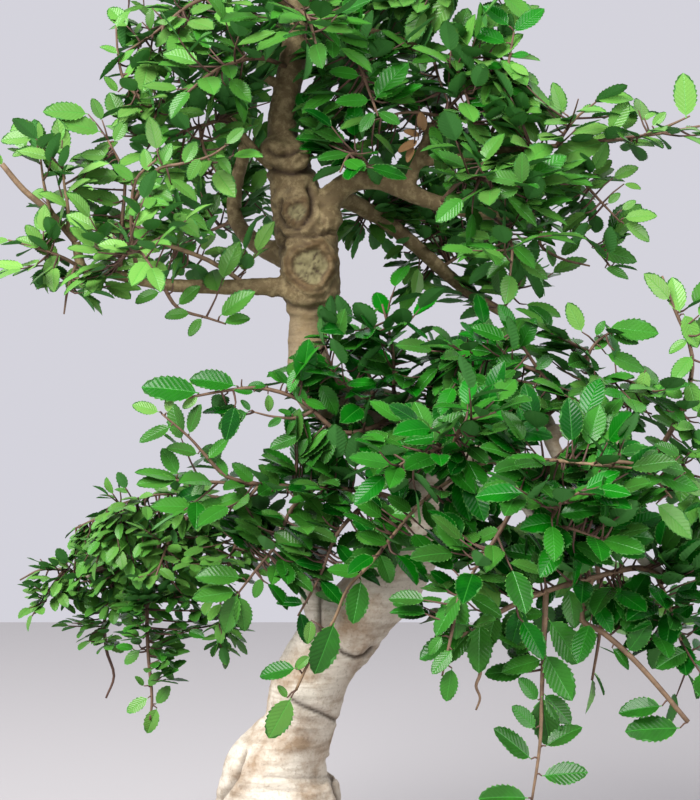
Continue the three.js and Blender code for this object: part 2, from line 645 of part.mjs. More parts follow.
// Of the ways a leaf can be turned to lie clear, the one with the plainest seam
function addLeaf(spray, leaf) {
  const ownStem = (other) => other.owner === spray.name && other.kind === "stem";
  let best = null;
  for (let attempt = 0; attempt < TRIES; attempt += 1) {
    const moved = turned(leaf, attempt);
    const room = blade(moved, GAP);
    if (isClear(room, (other) => !ownStem(other)) && isClear(outerPart(moved), ownStem)) {
      const grown = grownOn(spray.grown, blade(moved, 0));
      if (grown && (!best || grown.numTri() < best.grown.numTri())) {
        best = { grown, room };
      }
    }
  }
  if (best) {
    occupy(best.room, spray.name, "leaf");
    spray.grown = best.grown;
  }
}

function leavesOf(shoot) {
  return [
    tipLeaf(shoot.curve.getPoint(1), shoot.curve.getTangent(1), shoot.seed),
    ...leavesAlong(shoot).filter((leaf, index) => index % LEAF_EVERY === 1),
    ...shoot.twigs.map((twig) => tipLeaf(twig.end, twig.heading, twig.seed)),
  ];
}

stems.forEach((spray) => {
  spray.shoots.flatMap(leavesOf).forEach((leaf) => addLeaf(spray, leaf));
});

// The pot: rounded rectangles stacked up, each level [z, half length, half width]

function stacked(levels, corner) {
  const around = 4 * (ROUND_STEPS + 1);
  const geometry = new THREE.CylinderGeometry(1, 1, 1, around, levels.length - 1);
  const position = geometry.attributes.position;
  const vertex = new THREE.Vector3();
  for (let i = 0; i < position.count; i += 1) {
    vertex.fromBufferAttribute(position, i);
    const [z, halfLength, halfWidth] = levels[Math.round((vertex.y + 0.5) * (levels.length - 1))];
    if (Math.hypot(vertex.x, vertex.z) < 0.5) {
      position.setXYZ(i, 0, 0, z);
      continue;
    }
    const turn = Math.round(((Math.atan2(vertex.x, vertex.z) / (2 * Math.PI) + 1) % 1) * around) % around;
    const quarter = Math.floor(turn / (ROUND_STEPS + 1));
    const angle = ((quarter + (turn % (ROUND_STEPS + 1)) / ROUND_STEPS) * Math.PI) / 2;
    const rounding = Math.min(corner, halfWidth, halfLength);
    const x = (quarter === 0 || quarter === 3 ? 1 : -1) * (halfLength - rounding) + rounding * Math.cos(angle);
    const y = (quarter < 2 ? 1 : -1) * (halfWidth - rounding) + rounding * Math.sin(angle);
    position.setXYZ(i, x, y, z);
  }
  return toSolid(geometry);
}

const CAVITY_FLOOR = POT_FOOT + POT_FLOOR;

function cavityInset(z) {
  return POT_WALL + (POT_SPLAY * (POT_HEIGHT - z)) / (POT_HEIGHT - POT_FOOT);
}

function cavityLevel(z, inset) {
  return [z, POT_HALF_LENGTH - cavityInset(z) - inset, POT_HALF_WIDTH - cavityInset(z) - inset];
}

function drainHole(hand) {
  const hole = new THREE.CylinderGeometry(DRAIN_RADIUS, DRAIN_RADIUS, POT_FLOOR * 3, 14);
  hole.rotateX(Math.PI / 2);
  hole.translate(hand * DRAIN_OFFSET, 0, POT_FOOT + POT_FLOOR / 2);
  return toSolid(hole);
}

function pot() {
  const body = POT_HALF_LENGTH - LIP_PROUD;
  const broad = POT_HALF_WIDTH - LIP_PROUD;
  const lipFoot = POT_HEIGHT - LIP_HEIGHT;
  // how far in each level lies from the wall's line: the floor's rounded edge, the wall, then the lip
  const wall = (z, inset) => [z, body - inset, broad - inset];
  const lip = (z, inset) => [z, POT_HALF_LENGTH - inset, POT_HALF_WIDTH - inset];
  const outer = stacked([
    wall(POT_FOOT, POT_SPLAY),
    wall(POT_FOOT + 2.5 * EASED_EDGE, POT_SPLAY - 2 * EASED_EDGE),
    wall(lipFoot - 1.5 * EASED_EDGE, EASED_EDGE),
    lip(lipFoot, EASED_EDGE / 2),
    lip(POT_HEIGHT - EASED_EDGE, 0),
    lip(POT_HEIGHT, EASED_EDGE),
  ], POT_CORNER);
  const inner = stacked([cavityLevel(CAVITY_FLOOR, 0), cavityLevel(POT_HEIGHT + 1, 0)], POT_CORNER - POT_WALL);
  const feet = [[1, 1], [1, -1], [-1, 1], [-1, -1]].map(([right, back]) => {
    const foot = new THREE.BoxGeometry(FOOT_SIZE[0], FOOT_SIZE[1], POT_FOOT + 1);
    const x = right * (body - POT_SPLAY - FOOT_SIZE[0] / 2 - FOOT_INSET[0]);
    const y = back * (broad - POT_SPLAY - FOOT_SIZE[1] / 2 - FOOT_INSET[1]);
    foot.translate(x, y, (POT_FOOT + 1) / 2);
    return toSolid(foot);
  });
  return join([outer, ...feet]).subtract(inner).subtract(drainHole(1)).subtract(drainHole(-1));
}

function drainMesh(hand) {
  const centre = [hand * DRAIN_OFFSET, 0, CAVITY_FLOOR + GAP + MESH_THICKNESS / 2];
  const block = (x, y, size, height) => {
    const geometry = new THREE.BoxGeometry(size, size, height);
    geometry.translate(centre[0] + x, centre[1] + y, centre[2]);
    return toSolid(geometry);
  };
  const holes = [-1, 0, 1].flatMap((column) =>
    [-1, 0, 1].map((row) => block(column * MESH_PITCH, row * MESH_PITCH, MESH_HOLE, MESH_THICKNESS * 2)));
  return block(0, 0, MESH_SIZE, MESH_THICKNESS).subtract(join(holes));
}

function soil() {
  const mound = (z, share) => [z, POT_HALF_LENGTH * share, POT_HALF_WIDTH * share];
  const fill = stacked([
    cavityLevel(CAVITY_FLOOR + GAP, SOIL_CLEARANCE),
    cavityLevel(SOIL_EDGE, SOIL_CLEARANCE),
    mound(SOIL_EDGE + 2, 0.64),
    mound(SOIL_MOUND, 0.3),
  ], POT_CORNER - POT_WALL);
  const pockets = [-1, 1].map((hand) => {
    const size = MESH_SIZE + 2 * GAP;
    const pocket = new THREE.BoxGeometry(size, size, MESH_THICKNESS + 2 * GAP + 1);
    pocket.translate(hand * DRAIN_OFFSET, 0, CAVITY_FLOOR + (MESH_THICKNESS + 2 * GAP - 1) / 2);
    return toSolid(pocket);
  });
  const roots = WOOD_ROOM.slice(0, 1 + ROOTS.length);
  return fill.subtract(join([...roots, ...pockets]));
}

// Everything together

const bark = new THREE.MeshStandardMaterial({ color: 0xb3a288, roughness: 0.9, metalness: 0 });
const foliage = new THREE.MeshStandardMaterial({ color: 0x1f7a22, roughness: 0.5, metalness: 0 });
const stoneware = new THREE.MeshStandardMaterial({ color: 0x5a4336, roughness: 0.8, metalness: 0 });
const earth = new THREE.MeshStandardMaterial({ color: 0x3b2c22, roughness: 1, metalness: 0 });
const plastic = new THREE.MeshStandardMaterial({ color: 0x23282b, roughness: 0.6, metalness: 0 });

const bonsai = new THREE.Group();
bonsai.add(
  toMesh(pot(), "pot", stoneware),
  toMesh(drainMesh(-1), "drain_mesh_left", plastic),
  toMesh(drainMesh(1), "drain_mesh_right", plastic),
  toMesh(largest(soil()), "soil", earth),
  toMesh(join(woodPieces(0)), "trunk", bark),
);

stems.forEach((spray) => bonsai.add(toMesh(spray.grown, `spray_${spray.name}`, foliage)));

// The object's frame has its origin under the middle of its outline
const outlineBox = new THREE.Box3().setFromObject(bonsai);
bonsai.position.set(-(outlineBox.min.x + outlineBox.max.x) / 2, -(outlineBox.min.y + outlineBox.max.y) / 2, 0);

export default bonsai;
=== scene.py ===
"""A zelkova bonsai with a twisting trunk, rooted in the soil of a plain unglazed pot."""

import math

import bmesh
import bpy
from mathutils import Matrix, Vector, kdtree, noise


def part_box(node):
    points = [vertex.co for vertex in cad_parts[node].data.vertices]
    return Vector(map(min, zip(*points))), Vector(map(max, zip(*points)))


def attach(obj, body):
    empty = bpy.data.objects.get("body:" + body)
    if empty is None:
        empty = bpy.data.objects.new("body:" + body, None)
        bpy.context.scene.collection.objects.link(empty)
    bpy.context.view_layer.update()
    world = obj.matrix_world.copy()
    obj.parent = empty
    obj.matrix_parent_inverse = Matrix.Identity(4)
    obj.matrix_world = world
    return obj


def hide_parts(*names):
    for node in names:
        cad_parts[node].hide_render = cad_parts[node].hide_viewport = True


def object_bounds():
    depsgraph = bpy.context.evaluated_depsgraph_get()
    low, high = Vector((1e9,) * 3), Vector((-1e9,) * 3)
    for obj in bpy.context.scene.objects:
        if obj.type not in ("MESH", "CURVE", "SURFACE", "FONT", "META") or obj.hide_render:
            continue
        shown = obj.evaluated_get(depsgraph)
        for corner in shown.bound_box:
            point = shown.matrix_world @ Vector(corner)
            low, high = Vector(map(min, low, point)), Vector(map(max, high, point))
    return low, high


bl_info = {
    "name": "Zelkova bonsai",
    "version": (1, 0, 0),
    "blender": (4, 5, 0),
    "location": "View3D > Sidebar > Bonsai",
    "description": "Builds a zelkova bonsai in its pot round a measured frame",
    "category": "Add Mesh",
}

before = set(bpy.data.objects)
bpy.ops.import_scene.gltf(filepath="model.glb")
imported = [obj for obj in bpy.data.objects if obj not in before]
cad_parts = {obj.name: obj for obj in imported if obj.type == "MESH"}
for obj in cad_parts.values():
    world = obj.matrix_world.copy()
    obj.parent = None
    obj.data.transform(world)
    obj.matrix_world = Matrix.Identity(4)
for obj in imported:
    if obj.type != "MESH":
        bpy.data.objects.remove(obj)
CAD_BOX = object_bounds()

# The tree is measured in millimetres from the front, level with its middle. A point is written [x, y, z]
# with x and z as they appear in the trunk's plane from VIEW_DISTANCE away, and y the depth behind it.
VIEW_DISTANCE = 800
VIEW_X = 15
VIEW_Z = 290
MM = 0.001
UP = Vector((0, 0, 1))
POT_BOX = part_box("pot")
TREE_SHIFT = Vector(((POT_BOX[0].x + POT_BOX[1].x) / 2, (POT_BOX[0].y + POT_BOX[1].y) / 2, 0))
TO_ROW = Matrix.Translation(TREE_SHIFT) @ Matrix.Scale(MM, 4)
TO_TREE = TO_ROW.inverted()
REACH_LOW, REACH_HIGH = TO_TREE @ CAD_BOX[0], TO_TREE @ CAD_BOX[1]
REACH_EASE = Vector((0.3, 0.3, 0.3))

# Trunk: [x, y, z, radius] from the root ball up to the apex
TRUNK = [
    [-22, 0, 34, 20], [-22, 0, 60, 29], [-20.5, 0, 88, 32], [-21, 0, 105, 27], [-16.5, 0, 115, 21.5],
    [-10.8, 0, 125, 17.6], [-9, 0, 133, 17.8], [-7.5, 0, 142, 19], [0, 2, 159, 18.4], [18, 3, 182, 18.2],
    [35, 4, 202, 18.2], [48, 6, 225, 17.2], [55, 8, 247, 16],
    [52, 8, 268, 15], [35, 6, 281, 14.2], [13, 4, 287, 13.6], [-3, 2, 298, 12.6], [-5.8, 0, 315, 10],
    [-4.7, 0, 331, 10.2], [-4.5, 0, 341, 14.6],
    [-5, 0, 358, 15.2], [-8, 0, 376, 14.6], [-11, 0, 388, 12.6], [-14, 0, 400, 11.6], [-16, 0, 412, 11],
    [-18.5, 0, 424, 7.8], [-17.5, 0, 440, 7], [-13.5, 0, 462, 6.5], [-12, 0, 485, 5.4], [-10, 0, 514, 4],
    [-10, 0, 544, 2.2],
]

# Surface roots: compass angle, reach and thickness where they leave the trunk
ROOTS = [
    [-12, 52, 10], [52, 46, 9], [112, 48, 9], [170, 54, 10], [232, 48, 9], [292, 46, 9],
]
# From inside the trunk, down over the soil and into it: [share of the reach, height, share of the radius]
ROOT_RUN = [[0.2, 88, 1], [0.55, 66, 0.8], [0.8, 55, 0.55], [0.86, 39, 0.3]]

# Bare limbs: [x, y, z, radius]
LIMBS = [
    [
        [-8, 0, 345, 8], [-22, -3, 346.5, 4.6], [-55, -10, 346.5, 3.7], [-80, -15, 348, 3.2],
        [-104, -21, 353, 2.8], [-118, -24, 355, 2.6], [-122, -26, 369, 2.2],
    ],
    [
        [-6, 3, 360, 8], [-28, 22, 366, 5], [-42, 38, 380, 4.2], [-42, 46, 398, 3.9], [-38, 50, 417, 3.4],
        [-46, 52, 436, 2.6],
    ],
    [
        [-6, 0, 374, 9.5], [4, -3, 389, 6.6], [13, -5, 398, 5.6], [27, -8, 400.5, 5], [44, -11, 394, 4.6],
        [60, -12, 388, 4.1], [85, -14, 383, 3.2], [108, -16, 384, 2.3],
    ],
    [[44, -11, 394, 3.8], [47, -14, 405, 3.2], [51, -16, 414, 2.8], [56, -18, 428, 1.8]],
    [
        [48, -14, 409, 2.7], [72, -19, 411, 2.4], [97, -24, 416, 2.1], [112, -27, 411, 1.9],
        [126, -30, 406, 1.6],
    ],
    [
        [-5, 3, 385, 6.5], [8, 16, 391, 5], [25, 30, 384, 4.4], [42, 42, 372, 4.2], [60, 54, 356, 3.8],
        [74, 60, 344, 3], [90, 64, 334, 2.2],
    ],
    [[-16, 0, 404, 5], [-29, -4, 411, 2.5], [-37, -8, 420, 2.1], [-47, -12, 431, 1.6]],
    [[-17, 0, 446, 3.4], [-29, -6, 451, 1.8], [-48, -14, 447, 1.6], [-67, -20, 444, 1.3]],
    [[-12, 0, 460, 4.4], [-3, -2, 469, 2.5], [15, -8, 475, 2.1], [34, -14, 472, 1.8], [52, -18, 465, 1.5]],
    [[-10, 0, 500, 3.2], [6, -6, 508, 2.2], [26, -12, 512, 1.8], [48, -16, 510, 1.4]],
    [[-11.5, 0, 488, 3.6], [-28, -6, 493, 2.2], [-50, -12, 494, 1.7]],
    [[-13, 2, 468, 3.8], [-9, 28, 479, 2.1], [0, 50, 484, 1.5]],
    [
        [48, 6, 262, 11], [60, 2, 285, 6.4], [72, -8, 293, 5], [92, -20, 288, 4.4], [112, -30, 281, 4],
        [116, -40, 268, 3.6], [130, -52, 245, 3.1], [150, -62, 222, 2.8], [172, -70, 201, 3],
    ],
    [[114, -36, 275, 3.4], [130, -44, 274, 2.7], [150, -52, 268, 2.3], [168, -58, 262, 1.8]],
    [
        [6, 2, 176, 11], [-3, 4, 194, 7], [-9, 16, 209, 5.4], [-16, 34, 223, 4.6], [-25, 50, 232, 4],
        [-60, 68, 228, 3.5], [-92, 84, 216, 2.9], [-116, 96, 202, 2.2],
    ],
    [
        [53, 2, 250, 10], [72, -30, 262, 4.6], [84, -60, 262, 3.7], [92, -84, 258, 3], [100, -98, 242, 2.6],
        [109, -104, 227, 1.9],
    ],
]

# Where a pruned limb or knot has healed over on the front: [x, z, outer radius, hollow radius]
SCARS = [[-5, 357, 13.5, 8.2], [-11.5, 384, 7.5, 4]]
WOUND_DEPTH = 9  # in front of the trunk's middle

# Swellings: [x, y, z, radius]
BURLS = [
    [-22, -6, 414, 7.5], [-11, -6, 410, 8], [4, -5, 380, 7], [-5, -8, 344, 9],
]

# Leafy shoots by node: routes [x, y, z]. The first starts on the wood, and the others start on the first.
SPRAYS = {
    "crown_apex": [[[-10, 0, 538], [-8, -3, 549], [-3, -6, 558]]],
    "crown_left_low": [[[-67, -20, 444], [-80, -24, 438], [-90, -26, 434]]],
    "crown_left_middle": [
        [[-50, -12, 494], [-66, -17, 487], [-82, -22, 474], [-97, -26, 464]],
        [[-58, -15, 491], [-76, -14, 498], [-96, -16, 497]],
    ],
    "crown_left_high": [[[-10, 0, 508], [-30, -6, 520], [-54, -12, 530]]],
    "crown_left_back": [[[-13, 2, 474], [-35, 30, 483], [-60, 56, 486]]],
    "crown_right_low": [[[52, -18, 465], [70, -24, 461], [90, -28, 462]]],
    "crown_right_middle": [[[48, -16, 510], [68, -20, 504], [92, -24, 492]]],
    "crown_right_high": [[[-10, 0, 522], [10, -6, 532], [34, -10, 536]]],
    "crown_right_back": [[[-11.5, 1, 488], [14, 32, 496], [44, 56, 496]]],
    "crown_front": [[[-12, -2, 478], [-13, -32, 485], [-6, -60, 481], [-2, -76, 468]]],
    "crown_front_left": [[[-15, -2, 456], [-32, -28, 461], [-52, -46, 455], [-66, -58, 444]]],
    "crown_front_right": [[[15, -8, 475], [18, -28, 463], [24, -42, 446], [29, -50, 432]]],
    "crown_back": [[[0, 50, 484], [6, 74, 478], [14, 92, 468]]],
    "left_tip": [
        [[-122, -26, 369], [-135, -30, 384], [-148, -34, 395], [-159, -36, 408]],
        [[-134, -30, 382], [-138, -36, 398], [-140, -40, 414]],
        [[-126, -27.5, 374], [-126, -38, 386], [-128, -42, 399], [-129, -44, 412]],
    ],
    "left_far": [
        [[-118, -24, 355], [-128, -30, 361], [-142, -34, 366], [-156, -37, 370]],
        [[-122, -26.5, 357.5], [-126, -34, 346], [-128, -38, 333]],
    ],
    "left_upright_middle": [[[-100, -20, 352], [-99, -28, 378], [-98, -32, 403], [-106, -36, 420]]],
    "left_upright_inner": [[[-90, -17, 349.5], [-94, -36, 372], [-92, -46, 400], [-82, -50, 410]]],
    "left_front": [[[-104, -21, 353], [-99, -46, 361], [-90, -68, 364], [-84, -80, 356]]],
    "left_hanging": [[[-79, -15, 348], [-71, -22, 336], [-56, -26, 331], [-47, -28, 328]]],
    "left_tan": [[[-35, -6, 346.5], [-56, -14, 360], [-80, -22, 369], [-94, -26, 376]]],
    "left_back": [[[-96, -19, 351], [-100, 10, 366], [-106, 36, 376]]],
    "upper_left": [
        [[-47, -12, 431], [-60, -16, 427], [-78, -20, 422], [-98, -24, 422]],
        [[-60, -16, 427], [-58, -30, 415], [-52, -38, 404]],
    ],
    "back_left_high": [[[-46, 52, 436], [-62, 58, 447], [-80, 62, 450]]],
    "back_left_middle": [
        [[-42, 46, 398], [-58, 60, 404], [-78, 72, 404]],
        [[-47, 50, 400], [-36, 68, 396], [-26, 88, 380]],
    ],
    "back_left_low": [[[-42, 38, 380], [-56, 56, 374], [-72, 70, 366]]],
    "right_tip": [[[108, -16, 384], [120, -20, 380], [134, -24, 370], [145, -28, 357]]],
    "right_light": [[[126, -30, 406], [136, -34, 394], [150, -38, 379]]],
    "right_far": [
        [[97, -24, 416], [118, -34, 417], [144, -42, 420], [168, -46, 423], [190, -50, 427]],
        [[118, -34, 417], [127, -40, 430], [138, -44, 439]],
    ],
    "right_upright": [[[80, -20, 412.5], [90, -32, 434], [94, -36, 457], [97, -38, 474]]],
    "right_top": [
        [[56, -18, 428], [68, -26, 440], [77, -30, 452], [73, -32, 466]],
        [[60, -20.5, 432], [44, -28, 434], [27, -34, 430]],
    ],
    "right_front": [[[60, -12, 388], [70, -36, 399], [84, -58, 402], [98, -72, 397]]],
    "right_front_low": [[[85, -14, 383], [90, -34, 378], [96, -54, 367], [95, -64, 352]]],
    "right_inner": [[[27, -8, 400.5], [22, -26, 410], [15, -40, 413], [10, -50, 404]]],
    "right_back_low": [[[42, 42, 372], [52, 56, 364], [57, 66, 353]]],
    "right_back_inner": [[[25, 30, 384], [21, 48, 383], [17, 66, 377]]],
    "right_back_tip": [[[90, 64, 334], [98, 58, 345], [103, 54, 356]]],
    "right_back_high": [[[60, 54, 356], [80, 68, 369], [102, 76, 384]]],
    "middle_left": [
        [[46, 7, 274], [36, -14, 282], [20, -24, 293], [6, -28, 302]],
        [[36, -14, 282], [37, -22, 300], [36, -24, 318], [31, -25, 338]],
        [[27, -20, 288], [24, -14, 304], [14, -12, 316], [3, -14, 318]],
        [
            [36, -14, 282], [26, -24, 276], [10, -30, 274], [-10, -34, 290], [-30, -38, 296],
            [-45, -40, 295], [-67, -43, 291],
        ],
    ],
    "middle_shoot": [
        [[112, -30, 281], [120, -42, 290], [110, -48, 304], [100, -52, 319], [92, -54, 332]],
        [[110, -48, 304], [88, -42, 312], [70, -38, 316]],
    ],
    "middle_far": [
        [[130, -44, 274], [137, -46, 296], [134, -48, 312], [142, -50, 322], [154, -52, 326]],
        [[137, -46, 296], [152, -56, 300], [168, -64, 292]],
    ],
    "right_edge": [
        [[168, -58, 262], [182, -68, 288], [186, -72, 312], [177, -74, 336], [171, -76, 352]],
        [[172, -60.5, 269], [184, -68, 254], [190, -74, 238]],
    ],
    "front_right_high": [
        [[84, -60, 262], [66, -82, 266], [48, -98, 262], [32, -106, 252]],
        [[66, -82, 266], [72, -100, 278], [88, -112, 284]],
    ],
    "front_right_far": [
        [[92, -84, 258], [112, -104, 260], [134, -118, 258], [156, -126, 256]],
        [
            [96, -88, 258.5], [84, -92, 259], [67, -86, 251], [50, -78, 238], [37, -70, 223],
            [25, -62, 208], [14, -54, 196], [7, -48, 180], [-6, -40, 158], [-12, -38, 145],
        ],
    ],
    "front_right_low": [
        [[109, -104, 227], [124, -116, 226], [142, -124, 220]],
        [[114, -109, 226.7], [120, -124, 238], [130, -136, 244]],
    ],
    "front_right_down": [[[100, -98, 242], [88, -110, 221], [78, -114, 206], [69, -116, 192]]],
    "middle_back": [
        [[60, 2, 285], [72, 30, 291], [84, 60, 286], [94, 80, 276]],
        [[72, 30, 291], [92, 34, 300], [116, 40, 296]],
    ],
    "front_left_low": [
        [[47, 0, 236], [30, -18, 243], [4, -24, 246], [-35, -30, 248], [-72, -34, 250]],
        [[-30, -29.3, 247.7], [-47, -34, 252], [-57, -37, 262], [-65, -39, 271], [-79, -42, 283]],
        [[30, -18, 243], [18, -30, 234], [8, -34, 222], [0, -35, 202], [-11, -35, 182]],
        [[-2, -24.8, 246.5], [-14, -32, 236], [-22, -30, 218], [-32, -30, 205], [-42, -30, 192]],
    ],
    "low_right": [
        [
            [172, -70, 201], [160, -76, 206], [140, -82, 202], [112, -90, 194], [90, -96, 184],
            [70, -100, 172],
        ],
        [[113, -89.7, 194.3], [112, -92, 168], [111, -94, 146], [110, -96, 118], [106, -98, 90]],
        [
            [136, -83, 201], [131, -90, 180], [141, -92, 174], [155, -94, 162], [168, -96, 148],
            [184, -98, 129],
        ],
        [[168, -72, 203], [176, -76, 184], [181, -78, 168], [190, -80, 154]],
    ],
    "low_right_back": [[[130, -52, 245], [138, -10, 212], [140, 24, 176], [136, 34, 150]]],
    "low_left_high": [
        [[-25, 50, 232], [-50, 46, 241], [-80, 48, 243], [-106, 52, 236]],
        [[-36, 47.7, 237], [-42, 38, 218], [-49, 34, 197], [-50, 30, 178]],
    ],
    "low_left_tip": [
        [[-116, 96, 202], [-128, 102, 205], [-140, 106, 205], [-150, 108, 200]],
        [[-128, 102, 205], [-136, 106, 194], [-144, 108, 182]],
    ],
    "low_left_middle": [
        [
            [-92, 84, 216], [-100, 104, 202], [-107, 114, 186], [-107, 116, 166], [-103, 116, 152],
            [-107, 116, 141],
        ],
    ],
    "low_left_back": [
        [[-60, 68, 228], [-84, 92, 236], [-108, 108, 232], [-122, 112, 226]],
        [[-70, 77, 232], [-76, 48, 218], [-82, 26, 202]],
    ],
    "low_left_hanging": [[[-80, 78, 220], [-86, 66, 194], [-86, 62, 165], [-84, 60, 140], [-85, 58, 130]]],
}

# Leaves and twigs: lengths in mm, angles in radians. A pair is the least value and what a draw adds at most.
LEAF_SIZES = (0.74, 0.36)  # shares of the full length
LEAF_SPREAD = (0.75, 0.4)  # from the twig
LEAF_PITCH = 0.7  # up or down along the blade
LEAF_TILT = 1.1  # of its upper side
LEAF_FORWARD = 0.35  # how far its upper side turns to the front
LEAF_OUTWARD = (0.002, 0.003)  # and outwards, for each mm from the middle to the side and in depth
# Where a measured leaf faces: draw to the side, depth, least rise and draw of the rise
LEAF_FACING = (0.7, -0.75, 0.35, 0.5)
LEAF_SLANT = (0.3, 0.45)  # of its tip in depth: the draw that is level, and the share of its length
LEAF_ROOM = 1  # between the middle of a leaf and the wood
LEAF_HALF_WIDTH = 0.268  # share of its length
TIP_SIZES = (0.8, 0.3)
TIP_SPREAD = 0.15
STALK_RADII = [0.5, 0.42, 0.32]
STALK_ARCH = 0.6
STALK_LEAST = 1.2  # a measured leaf nearer to its stem sits on it
SHOOT_RADII = (0.85, 1.7)  # thinnest and stoutest
SHOOT_GAIN = 160  # length of a shoot for each mm that its radius gains
SHOOT_TAPER = 0.6
STOUT_TAPER = 0.25
SHOOT_PARTS = 40  # points along a shoot that twigs and measured leaves can start from
BARE_FOOT = 0.3  # share of a shoot before its first leaf
TWIG_LENGTH = (15, 19)
TWIG_LEAST = 9
TWIG_RADIUS = (0.62, 0.3)  # at its foot, and what it loses
TWIG_SAG = 2.4
TWIG_LEAFY = 26  # the end of a long twig that carries its leaves
TWIG_BARE = {"side": 4, "thicket": 3}  # before the first leaf
TWIG_TURN = 2.2  # round the shoot
TWIG_RAISED = 1.2  # added for every third twig
TWIG_OPEN = (0.75, 0.45)  # from the shoot
TWIG_LIFT = 0.12
TWIG_SPAN = (0.2, 0.74)  # where on the shoot the first twig is, and how far on the last
TWIG_SHORTER = (1.1, 0.4)  # share of the length at the foot of the shoot, and what it loses to its tip
STEEP = 0.05  # squared level part of a heading, below which it counts as upright
YOUTH = 0.04  # how new and yellow-green leaves are, where YOUNG_AND_LIT doesn't say
YOUTH_RANGE = 0.25  # between one leaf and the next, and from the foot of a twig to its tip
STEM_AGE = 0.4  # how tan and woody stems are, where AGED doesn't say
TWIG_AGE = 0.1
STALK_AGE = 0.15

# Where the tree is open from the front: least x and z, most x and z
OPENINGS = [
    [-200, 305, -33, 327], [-200, 252, -97, 330], [-97, 304, -62, 330], [-62, 308, -38, 332],
    [-97, 243, -86, 300], [-36, 306, -16, 334], [8, 338, 30, 365], [36, 60, 78, 150], [42, 60, 50, 178],
    [-30, 120, 46, 158], [-18, 155, 30, 176], [-10, 176, 34, 190], [10, 188, 40, 200], [-75, 60, -14, 128],
    [-200, 60, -86, 158], [-200, 60, -60, 138], [-62, 128, -26, 150], [-58, 140, -24, 158],
    [-32, 168, -18, 190], [-200, 462, -110, 520], [-200, 438, -122, 520], [118, 460, 260, 520],
    [160, 446, 260, 520], [155, 352, 260, 376], [168, 372, 260, 415], [120, 326, 160, 348],
    [84, 338, 126, 344], [62, 326, 74, 338], [-200, 60, -130, 166], [-200, 226, -136, 260],
    [-200, 240, -112, 262], [82, 60, 104, 150], [116, 60, 190, 100], [118, 100, 148, 122],
    [120, 140, 132, 160], [-108, 322, -66, 343], [-70, 342, -16, 351], [-200, 376, -142, 412],
    [-200, 426, -150, 440], [-46, 256, -24, 276], [-200, 176, -149, 232], [-150, 214, -126, 240],
    [122, 447, 160, 460], [156, 438, 180, 450], [152, 304, 180, 332], [146, 140, 176, 158],
]

# Where bare wood shows from the front: [left, low, right, high, depth], so that no rule leaf hangs before it
BARE_WOOD = [
    [-20, 312, -2, 338, 8], [-17, 340, 10, 372, 8], [-19, 372, 5, 396, 8], [-16, 395, -2, 410, 8],
    [-22, 410, -11, 440, 6], [6, 384, 62, 402, 0], [36, 408, 57, 437, -8], [-80, 362, -62, 371, -12],
    [-64, 356, -46, 365, -8], [-48, 351, -30, 359, -4], [-47, 368, -38, 412, 44], [92, 183, 112, 193, -80],
    [112, 189, 130, 199, -78], [130, 196, 152, 205, -72], [110, 262, 124, 284, -34],
]

# How new and yellow-green the leaves of a spray are. On the left sprays and in the crown the numbers are
# raised as painted light, for the light that shines through thin leaves and bounces among them
YOUNG_AND_LIT = {
    "crown_left_low": 0.55, "crown_left_middle": 0.4, "crown_left_high": 0.4, "right_far": 0.45,
    "right_edge": 0.3, "middle_far": 0.15, "left_far": 0.6, "right_light": 0.45, "left_tip": 0.55,
    "low_left_tip": 0.45, "low_left_high": 0.35, "low_left_back": 0.32, "low_left_middle": 0.35,
    "low_left_hanging": 0.2, "low_right_back": 0.45, "left_upright_inner": 0.35, "left_upright_middle": 0.4,
    "left_tan": 0.6, "left_hanging": 0.35, "left_back": 0.55, "upper_left": 0.4, "back_left_middle": 0.35,
    "left_front": 0.5, "back_left_low": 0.3, "right_tip": 0.2, "front_right_down": 0.1, "front_left_low": 0.1,
    "crown_right_low": 0.34, "crown_right_middle": 0.34, "crown_right_high": 0.3, "crown_right_back": 0.36,
    "crown_front_left": 0.25, "crown_front": 0.15, "crown_left_back": 0.25, "back_left_high": 0.25,
    "right_top": 0.32, "right_back_high": 0.3, "right_back_low": 0.32, "right_back_tip": 0.32,
    "low_right": 0.02, "right_front": 0.2, "right_front_low": 0.2, "right_back_inner": 0.3,
    "crown_front_right": 0.15,
}

# Sprays with small leaves, as shares of the full length
SMALL_LEAVED = {
    "low_left_high": 0.62, "low_left_tip": 0.6, "low_left_middle": 0.62, "low_left_back": 0.62,
    "low_left_hanging": 0.66, "back_left_low": 0.7, "back_left_middle": 0.7, "back_left_high": 0.75,
    "left_back": 0.75, "right_back_inner": 0.75, "right_back_low": 0.8, "right_back_high": 0.8,
}

# Sprays with leaves a little under the full length
LESSER_LEAVED = {
    "left_tip": 0.85, "left_far": 0.8, "left_upright_middle": 0.85, "left_upright_inner": 0.82,
    "left_tan": 0.8, "left_front": 0.85, "upper_left": 0.88, "crown_left_low": 0.85,
    "right_light": 0.8, "right_tip": 0.85,
}

# Sprays that lie in deeper shade, whose leaves carry more painted shade: the least share of the shaded green
# in each
SHADED_SPRAYS = {"low_right": 0.45, "front_right_down": 0.45, "front_right_far": 0.2, "front_left_low": 0.2}

# How tan and woody the stems of a spray are
AGED = {"left_tan": 1.0, "front_right_far": 0.95, "low_left_middle": 0.1, "low_right": 0.6, "left_tip": 0.8}

# Old stout stems, by their number in the spray, and their radius
STOUT_SHOOTS = {
    "low_right": {0: 1.5, 2: 1.5}, "left_tan": {0: 1.3}, "front_right_far": {1: 0.95}, "left_tip": {0: 1.8},
}

